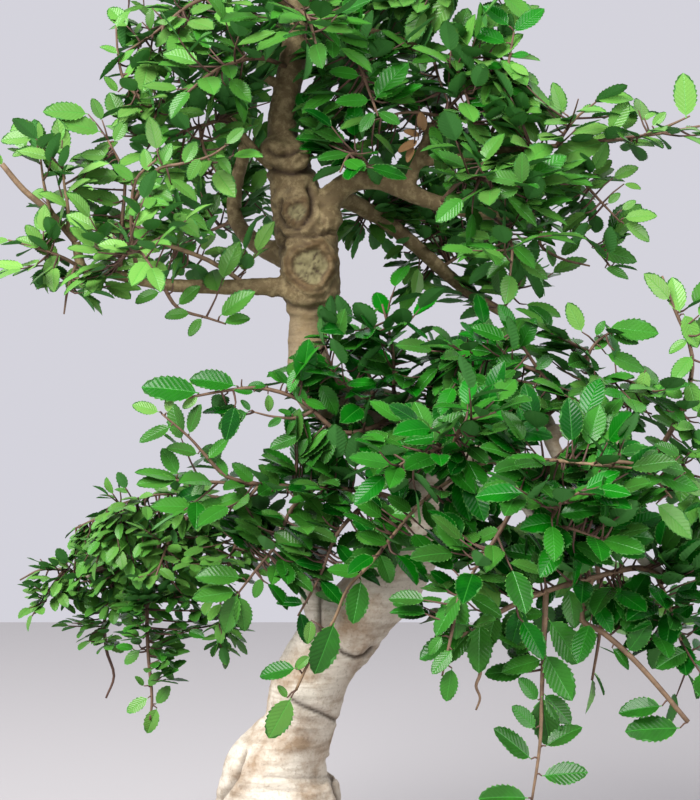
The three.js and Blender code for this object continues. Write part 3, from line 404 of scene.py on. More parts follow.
# Shoots with no leaves but the measured ones, by their number in the spray
BARE_SHOOTS = {
    "low_right": (1, 2), "left_hanging": (0,), "middle_left": (3,), "left_upright_middle": (0,),
    "left_upright_inner": (0,), "low_left_hanging": (0,), "front_left_low": (1, 2, 3),
    "front_right_far": (1,), "right_upright": (0,), "right_light": (0,), "right_tip": (0,),
    "middle_shoot": (0,), "right_edge": (0,),
    "crown_front_right": (0,), "left_tan": (0,), "low_left_middle": (0,), "left_far": (1,),
}

# Further shoots, which only the finest model has: routes [x, y, z]
MORE_SHOOTS = {
    "front_right_down": [[[69, -116, 192], [67, -117, 180], [64, -118, 165], [61, -118, 152]]],
    "middle_left": [[[-3, -33, 285], [-10, -35, 281.5], [-16, -36, 281], [-25, -37, 282], [-33, -38, 284]]],
    "front_left_low": [[[-30, -29.3, 247.7], [-38, -32, 240], [-50, -34, 237], [-62, -36, 235]]],
    "left_upright_inner": [
        [
            [-92.5, -42, 390], [-87, -45, 399], [-80, -48, 406], [-70, -50, 408], [-55, -52, 412],
            [-46, -52, 418],
        ],
    ],
    "crown_left_low": [
        [[-84, -25, 436], [-92, -27, 443], [-98, -28, 450], [-101, -28, 463], [-102, -29, 477]],
        [[-80, -24, 438], [-83, -28, 431], [-87, -30, 424]],
    ],
    "crown_left_middle": [[[-78, -21, 478], [-80, -24, 466], [-83, -26, 450]]],
    "right_tip": [[[113, -18, 382.5], [110, -24, 368], [120, -27, 361], [135, -29, 357]]],
    "right_far": [[[162, -45.5, 422.3], [174, -48, 427], [185, -50, 432]]],
    "crown_right_low": [
        [[60, -21, 463], [68, -28, 456], [73, -32, 443], [77, -34, 428]],
        [[56, -19, 464.4], [59, -28, 452], [64, -32, 439]],
    ],
    "middle_shoot": [[[118, -39, 287.5], [128, -42, 281], [134, -44, 275]]],
    "middle_far": [[[143, -50, 297.5], [152, -58, 288], [166, -62, 283]]],
    "front_right_far": [
        [[136, -118.5, 257.8], [150, -121, 259], [160, -122, 257], [168, -122, 250], [176, -122, 241]],
    ],
    "front_right_high": [
        [[84, -60, 262], [92, -70, 257], [98, -76, 246], [103, -80, 237], [109, -84, 227]],
    ],
    "low_right": [
        [
            [79, -98, 178.5], [80, -100, 166], [80, -100, 153], [78, -101, 147], [80, -101, 141],
            [78, -101, 135],
        ],
    ],
}

# Leaves that can be told apart: x and z of the foot and of the tip, and how young if not as the spray,
# where -1 is dry
MEASURED_LEAVES = {
    "low_right": [
        [154, 164, 165, 179], [171, 137, 149, 135], [180, 126, 152.5, 125], [146, 166, 156, 156],
        [105.5, 110.5, 87, 126], [111, 102, 134, 104], [104, 91, 80, 92], [111, 142, 115, 115],
        [112, 143, 126, 128], [113, 117, 130, 128], [108, 126, 96, 137], [109, 140, 100, 151],
        [112.5, 163, 126.5, 140], [114.5, 180, 131, 158], [99, 187, 93, 165], [112, 183, 97, 183],
        [110, 172, 98, 163], [111, 160, 91, 155], [80, 179, 79.5, 154], [90, 185, 76, 204, 0.3],
        [172, 205, 190, 206], [76, 175, 62, 160], [88, 184, 84, 166], [124, 196, 128, 176],
        [132, 198, 142, 180], [152, 198, 136, 178], [164, 201, 151, 180], [188, 200, 178, 186],
        [187, 188, 174, 178], [101, 186, 95.5, 166], [146, 200, 158, 190], [118, 196, 108, 186],
    ],
    "front_right_down": [[66, 156, 63, 139], [69, 194, 68, 170], [61, 172, 54, 163], [66, 165, 56, 153]],
    "front_left_low": [
        [-80.5, 284, -94, 288, 0.5], [-76.5, 283.5, -74, 295, 0.6], [-74.5, 277, -90.5, 269],
        [-65.5, 273, -60.5, 288], [-61, 263, -76, 267.5], [-56, 260.5, -46, 271.5], [-71, 253, -79, 266],
        [-47, 251, -51, 261], [-33, 249, -44, 258.5], [-62, 236, -84, 238], [-61, 236, -49, 240],
        [-50, 238, -39, 243], [0, 246, 6, 258, 0.4], [-39, 201, -62, 204], [-42, 194, -64, 191],
        [-27, 218, -42, 227], [-41, 193, -49, 173], [-29, 201, -33, 191], [-40, 192, -37, 174],
        [-72, 250, -92, 248], [-58, 249.5, -64, 240], [-20, 247, -30, 258], [-12, 246.5, -10, 234],
        [-42, 248, -34, 236], [-17, 226, -28, 236], [8, 218, 18, 206], [2, 206, -12, 210],
        [0, 200, 12, 188], [-8, 188, -22, 190], [-10, 184, -6, 168],
    ],
    "front_right_far": [
        [-12, 156, -31, 153], [-14.5, 141, -26, 120.5, 0.3], [-16.5, 141, -20.5, 147.5, 0.3],
        [7, 178.5, -2.5, 152.5], [20.5, 200, 16.5, 178], [-4.5, 180, -6, 168, 0.4],
        [-5, 162, -13, 155.5, 0.3], [59, 264.5, 78, 269], [64, 282, 55, 276], [121, 250, 136, 253],
        [160, 259, 169, 265], [183, 254, 166, 259], [180, 262, 168, 269], [168, 252, 190, 246],
        [168, 238, 188, 222, 0.3], [114.5, 248, 123, 262, 0.3], [20, 203, 4, 206], [34, 218, 20, 224],
        [30, 213, 36, 198], [46, 234, 34, 242], [52, 240, 58, 226], [66, 251, 60, 262], [75, 255, 82, 244],
    ],
    "low_left_hanging": [
        [-86, 141, -97, 134, 0.4], [-81.5, 136, -87, 123, 0.4], [-82, 138, -75, 147], [-86, 147, -80, 154],
        [-88, 147, -92, 152], [-90, 165, -98, 158], [-80, 158, -73, 150], [-79, 170, -85, 161],
    ],
    "low_left_middle": [
        [-107, 170, -98, 164], [-106, 176, -116, 170], [-100, 184, -92, 176], [-104, 188, -114, 184],
    ],
    "left_hanging": [
        [-79, 346, -100, 348], [-80, 344, -93, 340], [-71, 337.5, -60, 347], [-50, 332, -33.5, 345],
        [-48, 328.5, -35, 332, 0.3], [-59, 331, -66, 322], [-65, 333, -78, 333],
    ],
    "middle_left": [
        [-60.5, 293.5, -89.5, 297.5], [-42, 297, -65, 303], [-27, 297, -36, 298], [-33, 294, -43, 295],
        [-16, 298, -22, 305], [-26, 293, -25, 284, 0.4], [-61, 291.5, -69, 286, 0.5],
        [-35, 284.5, -39, 290.5], [-36, 284, -51.5, 277], [-14, 283, -21, 285], [-19, 281, -26, 277],
        [-12, 280, -17, 273], [-9, 272.5, -25.5, 266.5], [-6, 271, -11, 263], [-4, 270, -9.5, 258],
        [6, 275, 2, 258], [-11, 306, -15.5, 294], [-14, 297, -6, 288], [-8, 290, 3, 286], [0, 298, 9, 283],
        [-18, 299, -26, 304],
    ],
    "left_tip": [
        [-143, 421, -160, 421.5], [-142, 416.5, -154, 412], [-140, 419, -141, 429],
        [-129, 420, -131, 430, 0.5], [-126, 413, -133, 418],
    ],
    "left_upright_middle": [
        [-109, 430, -114, 441], [-116, 433, -138.5, 435.5], [-109.5, 424, -132.5, 431],
        [-103, 419, -97, 430], [-106, 412, -120, 413], [-106, 408, -120, 409], [-100, 402, -122, 401],
        [-99, 388, -117, 394], [-119, 382.5, -121, 397, 0.5], [-99, 398, -86, 404], [-98, 380, -88, 390],
        [-98, 374, -110, 380],
    ],
    "left_upright_inner": [
        [-86, 404, -88, 416, 0.5], [-80, 406.5, -75, 419], [-81, 387, -87, 396], [-93, 400, -104, 408],
        [-92, 396, -80, 398], [-68, 408, -62, 420], [-60, 411, -66, 400], [-52, 413, -44, 404],
        [-47, 418, -38, 426],
    ],
    "upper_left": [[-44, 427, -52, 421], [-34, 427, -43, 434], [-25, 439, -32, 446]],
    "crown_left_low": [
        [-101, 444, -108, 452, 0.6], [-98, 450, -92, 460, 0.6], [-101, 463, -110, 468, 0.5],
        [-101, 458, -93, 466, 0.5], [-102, 476, -96, 486, 0.5], [-84, 436, -88, 425], [-77, 439, -81, 426],
    ],
    "crown_left_middle": [
        [-89, 479, -93, 473], [-84, 486, -86, 476], [-88, 487, -100, 483], [-80, 462, -90, 456],
    ],
    "left_tan": [
        [-46, 360, -51, 367], [-37, 354, -39, 366], [-71, 368, -69, 376, 0.5], [-83, 354, -97, 361],
        [-76, 355, -86, 359], [-88, 372, -98, 380], [-80, 369, -86, 378],
    ],
    "left_far": [
        [-140, 366, -152, 372], [-139, 367, -147, 378], [-130, 362, -139, 354], [-122, 357, -126, 345],
    ],
    "right_upright": [
        [94.5, 477, 82, 488.5], [97, 474, 112, 486.5], [93, 468.5, 76, 476], [92, 457, 80, 457],
        [95.5, 462, 104.5, 463], [95, 458, 104.5, 453, 0.6], [90.5, 438.5, 71.5, 440],
        [88, 428, 104, 436, 0.4], [92, 440, 84, 428, 0.3], [93, 446, 103, 442], [86, 424, 74, 430],
    ],
    "right_far": [
        [138, 440, 157, 443], [145, 424, 154, 440], [121, 434, 117, 449], [108, 418, 103, 432],
        [183, 431, 182, 454, 0.6], [142, 419, 116, 411, 0.4], [162, 431, 168, 434, 0.5],
        [166, 427, 173, 434, 0.5],
    ],
    "right_light": [
        [152, 381, 168.5, 383, 0.6], [152, 378, 166, 370.5, 0.5], [151, 385, 158, 390, 0.5],
        [144, 388, 150, 394, 0.4], [138, 403, 146, 410], [146.5, 401, 159, 407],
        [152, 398, 160.7, 396, 0.6], [130, 400, 124, 390], [134, 396, 144, 400],
    ],
    "right_tip": [
        [136, 366, 159, 360], [142.5, 356, 155, 352], [125, 374, 136, 377, 0.7], [130, 371, 121, 363],
        [113, 368, 118, 357], [112, 380, 104, 370], [118, 380, 126, 388], [110, 383, 104, 392],
    ],
    "right_front": [[100, 396, 85.5, 392], [102, 398, 84, 404], [66, 392, 65, 406], [101, 398, 101, 414]],
    "right_top": [
        [49, 420, 39, 414, -1], [50, 422, 42, 425, -1], [52, 424, 50, 434, -1], [47, 417, 43, 409, -1],
    ],
    "crown_front_right": [
        [27.5, 440, 43, 460.5], [28, 441, 42, 448.5], [25, 440, 7.5, 439], [20, 452, 5, 455],
        [24, 451, 33, 460], [20, 460, 33, 475], [18, 466, 6, 474], [27, 434, 20, 424], [29, 434, 40, 428],
    ],
    "middle_shoot": [
        [97, 324, 90, 338], [100, 316, 107.5, 331], [93, 320, 75.5, 328], [92, 313, 74, 316],
        [103, 307, 85.5, 311], [107.5, 305, 117, 313], [73, 319, 60.5, 314.5], [118, 288, 104, 285],
    ],
    "middle_far": [
        [131, 324, 124, 339, 0.6], [138, 322, 142, 330], [144, 326, 169.5, 323.5], [146, 322, 159.5, 319],
        [137, 315, 144, 320], [143, 313, 163, 305], [163, 305, 160, 291, 0.6],
    ],
    "right_edge": [
        [175, 340, 163, 353.5, 0.6], [180, 333.5, 176, 352, 0.6], [182, 333, 189, 316, 0.5],
        [182, 291, 168.5, 298.5], [183, 279, 167, 287], [184, 300, 189, 284, 0.4],
        [186, 312, 176, 300, 0.3], [184, 320, 174, 314, 0.4],
    ],
    "front_right_low": [[121, 227, 109, 239], [127, 228, 132, 240]],
}

# Dense growth of short twigs: middle x, y, z, reach along each, and how many twigs
THICKETS = {
    "middle_left": [
        [20, -24, 310, 30, 16, 20, 30], [46, -24, 284, 20, 16, 24, 16], [18, -22, 272, 28, 12, 16, 20],
        [-4, -24, 300, 14, 8, 12, 12], [-32, -36, 293, 22, 8, 10, 8], [-24, -34, 300, 18, 6, 6, 8],
    ],
    "middle_shoot": [[86, -44, 302, 24, 16, 24, 24], [60, -34, 302, 18, 14, 20, 12]],
    "middle_back": [[72, 26, 292, 34, 24, 26, 22], [40, 24, 286, 24, 14, 22, 14]],
    "middle_far": [
        [142, -50, 298, 22, 12, 20, 20], [126, -46, 282, 16, 12, 16, 10], [130, -48, 318, 24, 10, 14, 16],
        [150, -50, 292, 16, 10, 12, 10],
    ],
    "front_right_high": [[58, -84, 262, 32, 18, 20, 24], [86, -84, 278, 20, 16, 16, 12]],
    "front_right_far": [
        [124, -104, 258, 34, 18, 18, 26], [100, -88, 240, 18, 12, 18, 10], [60, -80, 242, 24, 10, 10, 8],
        [40, -70, 226, 16, 8, 16, 14], [118, -100, 272, 26, 12, 12, 14],
    ],
    "front_right_low": [[128, -114, 230, 26, 14, 18, 18], [150, -118, 240, 20, 12, 18, 10]],
    "front_right_down": [[80, -108, 214, 18, 10, 14, 10], [58, -112, 192, 8, 6, 14, 6]],
    "low_right": [
        [150, -80, 206, 34, 12, 14, 18], [100, -92, 192, 22, 10, 12, 10], [176, -76, 186, 12, 8, 20, 12],
        [158, -84, 198, 14, 8, 14, 8], [142, -84, 188, 14, 6, 8, 10], [187, -78, 186, 5, 8, 30, 10],
        [110, -94, 150, 10, 6, 24, 6], [122, -90, 206, 16, 8, 10, 10], [178, -74, 212, 10, 8, 10, 8],
    ],
    "low_right_back": [[130, -34, 226, 20, 20, 20, 10], [104, -36, 212, 16, 12, 14, 10]],
    "right_edge": [[178, -68, 268, 10, 12, 32, 16], [187, -72, 300, 4, 8, 44, 12]],
    "front_left_low": [
        [0, -24, 250, 30, 12, 12, 18], [14, -28, 236, 16, 10, 12, 12], [-46, -30, 248, 26, 8, 6, 6],
        [2, -32, 220, 14, 6, 18, 18], [-22, -28, 214, 12, 8, 18, 14], [-8, -32, 206, 12, 5, 12, 14],
        [24, -26, 230, 12, 8, 14, 10], [-30, -26, 226, 12, 6, 12, 10], [-2, -30, 266, 14, 8, 8, 8],
    ],
    "right_top": [
        [68, -26, 444, 20, 10, 22, 16], [34, -18, 416, 22, 8, 10, 12], [44, -8, 430, 16, 10, 20, 16],
        [64, -14, 426, 14, 10, 14, 12],
    ],
    "crown_right_low": [
        [60, -24, 448, 30, 14, 22, 20], [84, -26, 452, 16, 12, 18, 12], [94, -26, 442, 14, 10, 16, 12],
    ],
    "crown_right_middle": [[44, -16, 492, 28, 12, 18, 26]],
    "crown_right_high": [[20, -8, 520, 26, 16, 14, 14], [10, 16, 530, 20, 18, 14, 10]],
    "crown_right_back": [[24, 40, 478, 36, 22, 18, 24]],
    "crown_front_right": [[32, -30, 455, 20, 14, 22, 14], [2, -16, 446, 10, 8, 26, 16]],
    "crown_front": [[-4, -40, 478, 26, 26, 14, 14]],
    "crown_front_left": [[-40, -34, 456, 26, 12, 14, 14]],
    "crown_back": [[0, 70, 478, 30, 18, 18, 18]],
    "right_far": [
        [108, -32, 420, 24, 12, 18, 18], [150, -42, 426, 24, 8, 10, 5], [104, -34, 436, 14, 10, 14, 10],
        [88, -28, 412, 18, 10, 10, 12],
    ],
    "right_front": [
        [84, -50, 398, 24, 16, 16, 16], [74, -44, 408, 20, 10, 10, 12], [112, -40, 396, 14, 10, 12, 8],
    ],
    "right_front_low": [[94, -40, 366, 14, 14, 14, 10]],
    "right_light": [[136, -32, 392, 14, 8, 14, 9]],
    "right_tip": [[136, -26, 366, 18, 6, 12, 8]],
    "right_back_high": [
        [84, 66, 374, 30, 12, 20, 22], [60, 40, 400, 24, 12, 14, 20], [108, 50, 392, 16, 10, 16, 12],
    ],
    "right_back_low": [[48, 52, 372, 18, 14, 16, 14], [42, 52, 353, 10, 10, 9, 8]],
    "right_back_tip": [[86, 60, 348, 24, 8, 12, 18], [104, 50, 340, 16, 8, 12, 10]],
    "right_back_inner": [
        [28, 46, 380, 16, 14, 14, 8], [18, 40, 373, 10, 8, 6, 6], [34, 36, 394, 20, 10, 12, 18],
        [44, 40, 384, 20, 8, 8, 12],
    ],
    "right_inner": [[16, -26, 412, 20, 12, 12, 16], [0, -14, 418, 8, 6, 16, 8]],
    "left_upright_middle": [[-104, -28, 396, 16, 8, 24, 10]],
    "left_upright_inner": [[-86, -40, 394, 22, 12, 26, 14]],
    "left_tan": [[-54, -12, 360, 28, 8, 8, 18], [-88, -20, 372, 16, 10, 10, 10]],
    "left_hanging": [[-62, -20, 350, 16, 6, 6, 4]],
    "upper_left": [
        [-68, -20, 424, 28, 12, 14, 14], [-44, -20, 432, 14, 10, 14, 10], [-34, -12, 440, 10, 8, 22, 12],
    ],
    "left_back": [[-102, 16, 372, 18, 16, 18, 12]],
    "left_front": [[-104, -50, 360, 20, 14, 14, 10]],
    "left_far": [[-114, -28, 350, 22, 8, 8, 14], [-132, -30, 364, 14, 8, 14, 10]],
    "left_tip": [[-136, -34, 396, 12, 8, 16, 8]],
    "crown_left_middle": [[-72, -18, 478, 28, 12, 18, 18]],
    "crown_left_low": [[-82, -24, 446, 22, 10, 14, 12]],
    "crown_left_high": [[-40, -10, 516, 28, 16, 16, 16], [-24, 14, 528, 22, 18, 14, 10]],
    "crown_apex": [[-6, -2, 546, 20, 16, 12, 14]],
    "crown_left_back": [[-48, 38, 476, 36, 20, 20, 26]],
    "back_left_high": [[-56, 56, 446, 32, 12, 18, 22]],
    "back_left_middle": [[-56, 60, 410, 34, 14, 20, 26]],
    "back_left_low": [[-52, 54, 384, 26, 14, 18, 16]],
    "low_left_high": [
        [-78, 48, 236, 34, 14, 12, 34], [-44, 44, 218, 12, 10, 22, 20], [-46, 36, 172, 9, 6, 12, 10],
        [-100, 46, 213, 20, 8, 9, 20], [-30, 40, 214, 10, 8, 12, 10],
    ],
    "low_left_tip": [[-130, 100, 200, 16, 8, 12, 30]],
    "low_left_middle": [
        [-98, 96, 200, 20, 14, 20, 34], [-114, 108, 176, 14, 8, 10, 14], [-108, 84, 206, 18, 6, 10, 14],
    ],
    "low_left_back": [
        [-82, 80, 216, 30, 20, 20, 34], [-60, 60, 204, 16, 14, 24, 20], [-110, 100, 208, 16, 10, 20, 22],
    ],
    "low_left_hanging": [
        [-84, 66, 182, 14, 8, 20, 24], [-58, 50, 184, 10, 8, 14, 8], [-84, 60, 158, 10, 6, 10, 8],
        [-87, 54, 186, 7, 4, 12, 12],
    ],
}


def to_linear(hex_colour):
    """An sRGB hex colour as the linear numbers that sockets and properties hold."""
    channels = [int(hex_colour[i : i + 2], 16) / 255 for i in (1, 3, 5)]
    return tuple(c / 12.92 if c <= 0.04045 else ((c + 0.055) / 1.055) ** 2.4 for c in channels)


class ZelkovaSizes(bpy.types.PropertyGroup):
    """Sizes of the leaves, twigs and bark."""

    leaf_length: bpy.props.FloatProperty(
        name="Leaf length", description="Length of a grown leaf", default=0.020, unit="LENGTH"
    )
    leaf_gap: bpy.props.FloatProperty(
        name="Leaf gap", description="Distance between leaves along a twig", default=0.0075, unit="LENGTH"
    )
    twig_gap: bpy.props.FloatProperty(
        name="Twig gap", description="Distance between side twigs along a shoot", default=0.011, unit="LENGTH"
    )
    bark_step: bpy.props.FloatProperty(
        name="Bark step", description="Size of the smallest form in the wood", default=0.0012, unit="LENGTH"
    )
    grain_size: bpy.props.FloatProperty(
        name="Grain size", description="Width of a grain of soil", default=0.0042, unit="LENGTH"
    )


class ZelkovaColours(bpy.types.PropertyGroup):
    """Colours of the tree and its pot."""

    bark_pale: bpy.props.FloatVectorProperty(
        name="Pale bark", description="Smooth young bark low on the trunk", size=3, subtype="COLOR",
        default=to_linear("#c5bcad"),
    )
    bark_tan: bpy.props.FloatVectorProperty(
        name="Tan bark", description="Stained patches of the bark", size=3, subtype="COLOR",
        default=to_linear("#8f7a63"),
    )
    bark_grey: bpy.props.FloatVectorProperty(
        name="Grey bark", description="Older bark high on the trunk", size=3, subtype="COLOR",
        default=to_linear("#6a5a3d"),
    )
    leaf_grown: bpy.props.FloatVectorProperty(
        name="Grown leaf", description="Upper side of a grown leaf", size=3, subtype="COLOR",
        default=to_linear("#086608"),
    )
    leaf_young: bpy.props.FloatVectorProperty(
        name="Young leaf", description="Upper side of a new leaf", size=3, subtype="COLOR",
        default=to_linear("#7dab52"),
    )
    twig_red: bpy.props.FloatVectorProperty(
        name="Red twig", description="Bark of this year's twigs", size=3, subtype="COLOR",
        default=to_linear("#55342a"),
    )
    stoneware: bpy.props.FloatVectorProperty(
        name="Stoneware", description="Fired unglazed clay of the pot", size=3, subtype="COLOR",
        default=to_linear("#503a30"),
    )


class ZelkovaStage(bpy.types.PropertyGroup):
    """The camera, floor and lights."""

    lens: bpy.props.FloatProperty(
        name="Focal length", description="Of the camera", default=72.0, unit="CAMERA"
    )
    floor_size: bpy.props.FloatProperty(
        name="Floor size", description="Side of the square floor", default=2.6, unit="LENGTH"
    )
    key_power: bpy.props.FloatProperty(
        name="Key light", description="Power of the large soft light", default=84.0, unit="POWER"
    )
    fill_power: bpy.props.FloatProperty(
        name="Fill light", description="Power of the light opposite", default=20.0, unit="POWER"
    )


def place(point):
    """From where a point appears from the front to where it is, in the tree's millimetres."""
    x, y, z = point[:3]
    spread = (VIEW_DISTANCE + y) / VIEW_DISTANCE
    return Vector((VIEW_X + (x - VIEW_X) * spread, y, VIEW_Z + (z - VIEW_Z) * spread))


def as_seen(position):
    """From where a point is to where it appears from the front."""
    spread = (VIEW_DISTANCE + position.y) / VIEW_DISTANCE
    return VIEW_X + (position.x - VIEW_X) / spread, VIEW_Z + (position.z - VIEW_Z) / spread


def dice(seed):
    """The same numbers on every run, from a whole number."""
    state = [(seed * 2654435761 + 12345) & 0xFFFFFFFF]

    def roll():
        state[0] = (state[0] * 1664525 + 1013904223) & 0xFFFFFFFF
        return state[0] / 4294967296

    roll()
    roll()
    return roll


def clamped(value):
    """The value, or 0 or 1 where it lies beyond them."""
    return max(0, min(1, value))


def between(values, share):
    """A value given at evenly numbered stations, read between them."""
    along = clamped(share) * (len(values) - 1)
    low = min(int(along), len(values) - 2)
    return values[low] + (values[low + 1] - values[low]) * (along - low)


class Route:
    """A smooth curve through points, read by its parameter or by share of its length."""

    STEPS = 200

    def __init__(self, points):
        self.points = points
        samples = [self.at(i / self.STEPS) for i in range(self.STEPS + 1)]
        self.lengths = [0.0]
        for before, after in zip(samples, samples[1:]):
            self.lengths.append(self.lengths[-1] + (after - before).length)
        self.length = self.lengths[-1]

    def at(self, t):
        points = self.points
        last = len(points) - 1
        low = min(int(last * t), last - 1)
        weight = last * t - low
        p1, p2 = points[low], points[low + 1]
        p0 = points[low - 1] if low > 0 else 2 * p1 - p2
        p3 = points[low + 2] if low + 2 <= last else 2 * p2 - p1
        dt0, dt1, dt2 = ((b - a).length ** 0.5 for a, b in ((p0, p1), (p1, p2), (p2, p3)))
        slope1 = ((p1 - p0) / dt0 - (p2 - p0) / (dt0 + dt1) + (p2 - p1) / dt1) * dt1
        slope2 = ((p2 - p1) / dt1 - (p3 - p1) / (dt1 + dt2) + (p3 - p2) / dt2) * dt1
        square = -3 * p1 + 3 * p2 - 2 * slope1 - slope2
        cube = 2 * p1 - 2 * p2 + slope1 + slope2
        return p1 + slope1 * weight + square * weight**2 + cube * weight**3

    def heading(self, t):
        ahead, behind = min(t + 0.0001, 1), max(t - 0.0001, 0)
        return (self.at(ahead) - self.at(behind)).normalized()

    def parameter(self, share):
        target = share * self.length
        low, high = 0, self.STEPS
        while high - low > 1:
            middle = (low + high) // 2
            if self.lengths[middle] <= target:
                low = middle
            else:
                high = middle
        span = self.lengths[low + 1] - self.lengths[low]
        return (low + (target - self.lengths[low]) / max(span, 1e-9)) / self.STEPS

    def point_along(self, share):
        return self.at(self.parameter(share))

    def heading_along(self, share):
        return self.heading(self.parameter(share))


# Shared modelling steps


def grow_tube(centres, radii, sides):
    """A closed round tube through a row of points, in a bmesh of its own."""
    bm = bmesh.new()
    bmesh.ops.create_circle(bm, segments=sides, radius=1)
    first = (centres[1] - centres[0]).normalized()
    turn = UP.rotation_difference(first)
    start = Matrix.Translation(centres[0]) @ turn.to_matrix().to_4x4() @ Matrix.Scale(radii[0], 4)
    bmesh.ops.transform(bm, matrix=start, verts=bm.verts)
    ring = list(bm.edges)
    bmesh.ops.contextual_create(bm, geom=ring)
    heading = first
    for i in range(1, len(centres)):
        reach = centres[min(i + 1, len(centres) - 1)] - centres[i - 1]
        ahead = reach.normalized()
        grown = bmesh.ops.extrude_edge_only(bm, edges=ring)["geom"]
        ring = [item for item in grown if isinstance(item, bmesh.types.BMEdge)]
        corners = [item for item in grown if isinstance(item, bmesh.types.BMVert)]
        step = (
            Matrix.Translation(centres[i])
            @ heading.rotation_difference(ahead).to_matrix().to_4x4()
            @ Matrix.Scale(radii[i] / radii[i - 1], 4)
            @ Matrix.Translation(-centres[i - 1])
        )
        bmesh.ops.transform(bm, matrix=step, verts=corners)
        heading = ahead
    bmesh.ops.contextual_create(bm, geom=ring)
    bmesh.ops.recalc_face_normals(bm, faces=bm.faces)
    for face in bm.faces:
        face.smooth = True
    return bm


def as_mesh(bm, name):
    """A mesh from a bmesh, which it frees."""
    mesh = bpy.data.meshes.new(name)
    bm.to_mesh(mesh)
    bm.free()
    return mesh


def take_in(bm, other, material=None):
    """Adds a small bmesh to a larger one and frees it."""
    if material is not None:
        for face in other.faces:
            face.material_index = material
    carrier = as_mesh(other, "carrier")
    bm.from_mesh(carrier)
    bpy.data.meshes.remove(carrier)


def as_object(bm, name, matrix=TO_ROW):
    """An object from a bmesh, moved from the tree's millimetres to its place."""
    bmesh.ops.transform(bm, matrix=matrix, verts=bm.verts)
    made = bpy.data.objects.new(name, as_mesh(bm, name))
    bpy.context.scene.collection.objects.link(made)
    return made


def finish_piece(bm, name, materials, replaced=()):
    """A visible piece from a bmesh, with its materials, its body and the node that it replaces."""
    piece = as_object(bm, name)
    for material in materials:
        piece.data.materials.append(material)
    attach(piece, "root")
    if replaced:
        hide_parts(*replaced)
    return piece


def applied(piece):
    """The piece's mesh with its modifiers worked in."""
    graph = bpy.context.evaluated_depsgraph_get()
    mesh = bpy.data.meshes.new_from_object(piece.evaluated_get(graph), depsgraph=graph)
    piece.modifiers.clear()
    return mesh


def add(tree, kind, feeds=None, **settings):
    """Adds a shader node with its settings; feeds gives each input a link or a value."""
    node = tree.nodes.new(kind)
    for name, value in settings.items():
        setattr(node, name, value)
    for socket, value in (feeds or {}).items():
        if isinstance(value, bpy.types.NodeSocket):
            tree.links.new(value, node.inputs[socket])
        else:
            node.inputs[socket].default_value = value
    return node


def rgba(colour):
    """A colour as node inputs hold it, from its hex form or from linear numbers."""
    linear = to_linear(colour) if isinstance(colour, str) else colour[:3]
    return (*linear, 1.0)


def new_material(name, roughness):
    """A material, its node tree and its surface shader."""
    material = bpy.data.materials.new(name)
    material.use_nodes = True
    tree = material.node_tree
    shader = tree.nodes["Principled BSDF"]
    shader.inputs["Roughness"].default_value = roughness
    return material, tree, shader


def paint(tree, shader, ground, coats):
    """Colours a surface with coats over a ground. A coat says what it follows, from where and to where
    it grows, how much it covers at most, and its colour."""
    colour = rgba(ground)
    for follows, low, high, most, coat in coats:
        amount = add(
            tree, "ShaderNodeMapRange", {"Value": follows, "From Min": low, "From Max": high, "To Max": most}
        )
        feeds = {"Factor": amount.outputs["Result"], 6: colour, 7: rgba(coat)}
        colour = add(tree, "ShaderNodeMix", feeds, data_type="RGBA").outputs[2]
    tree.links.new(colour, shader.inputs["Base Color"])


# Materials


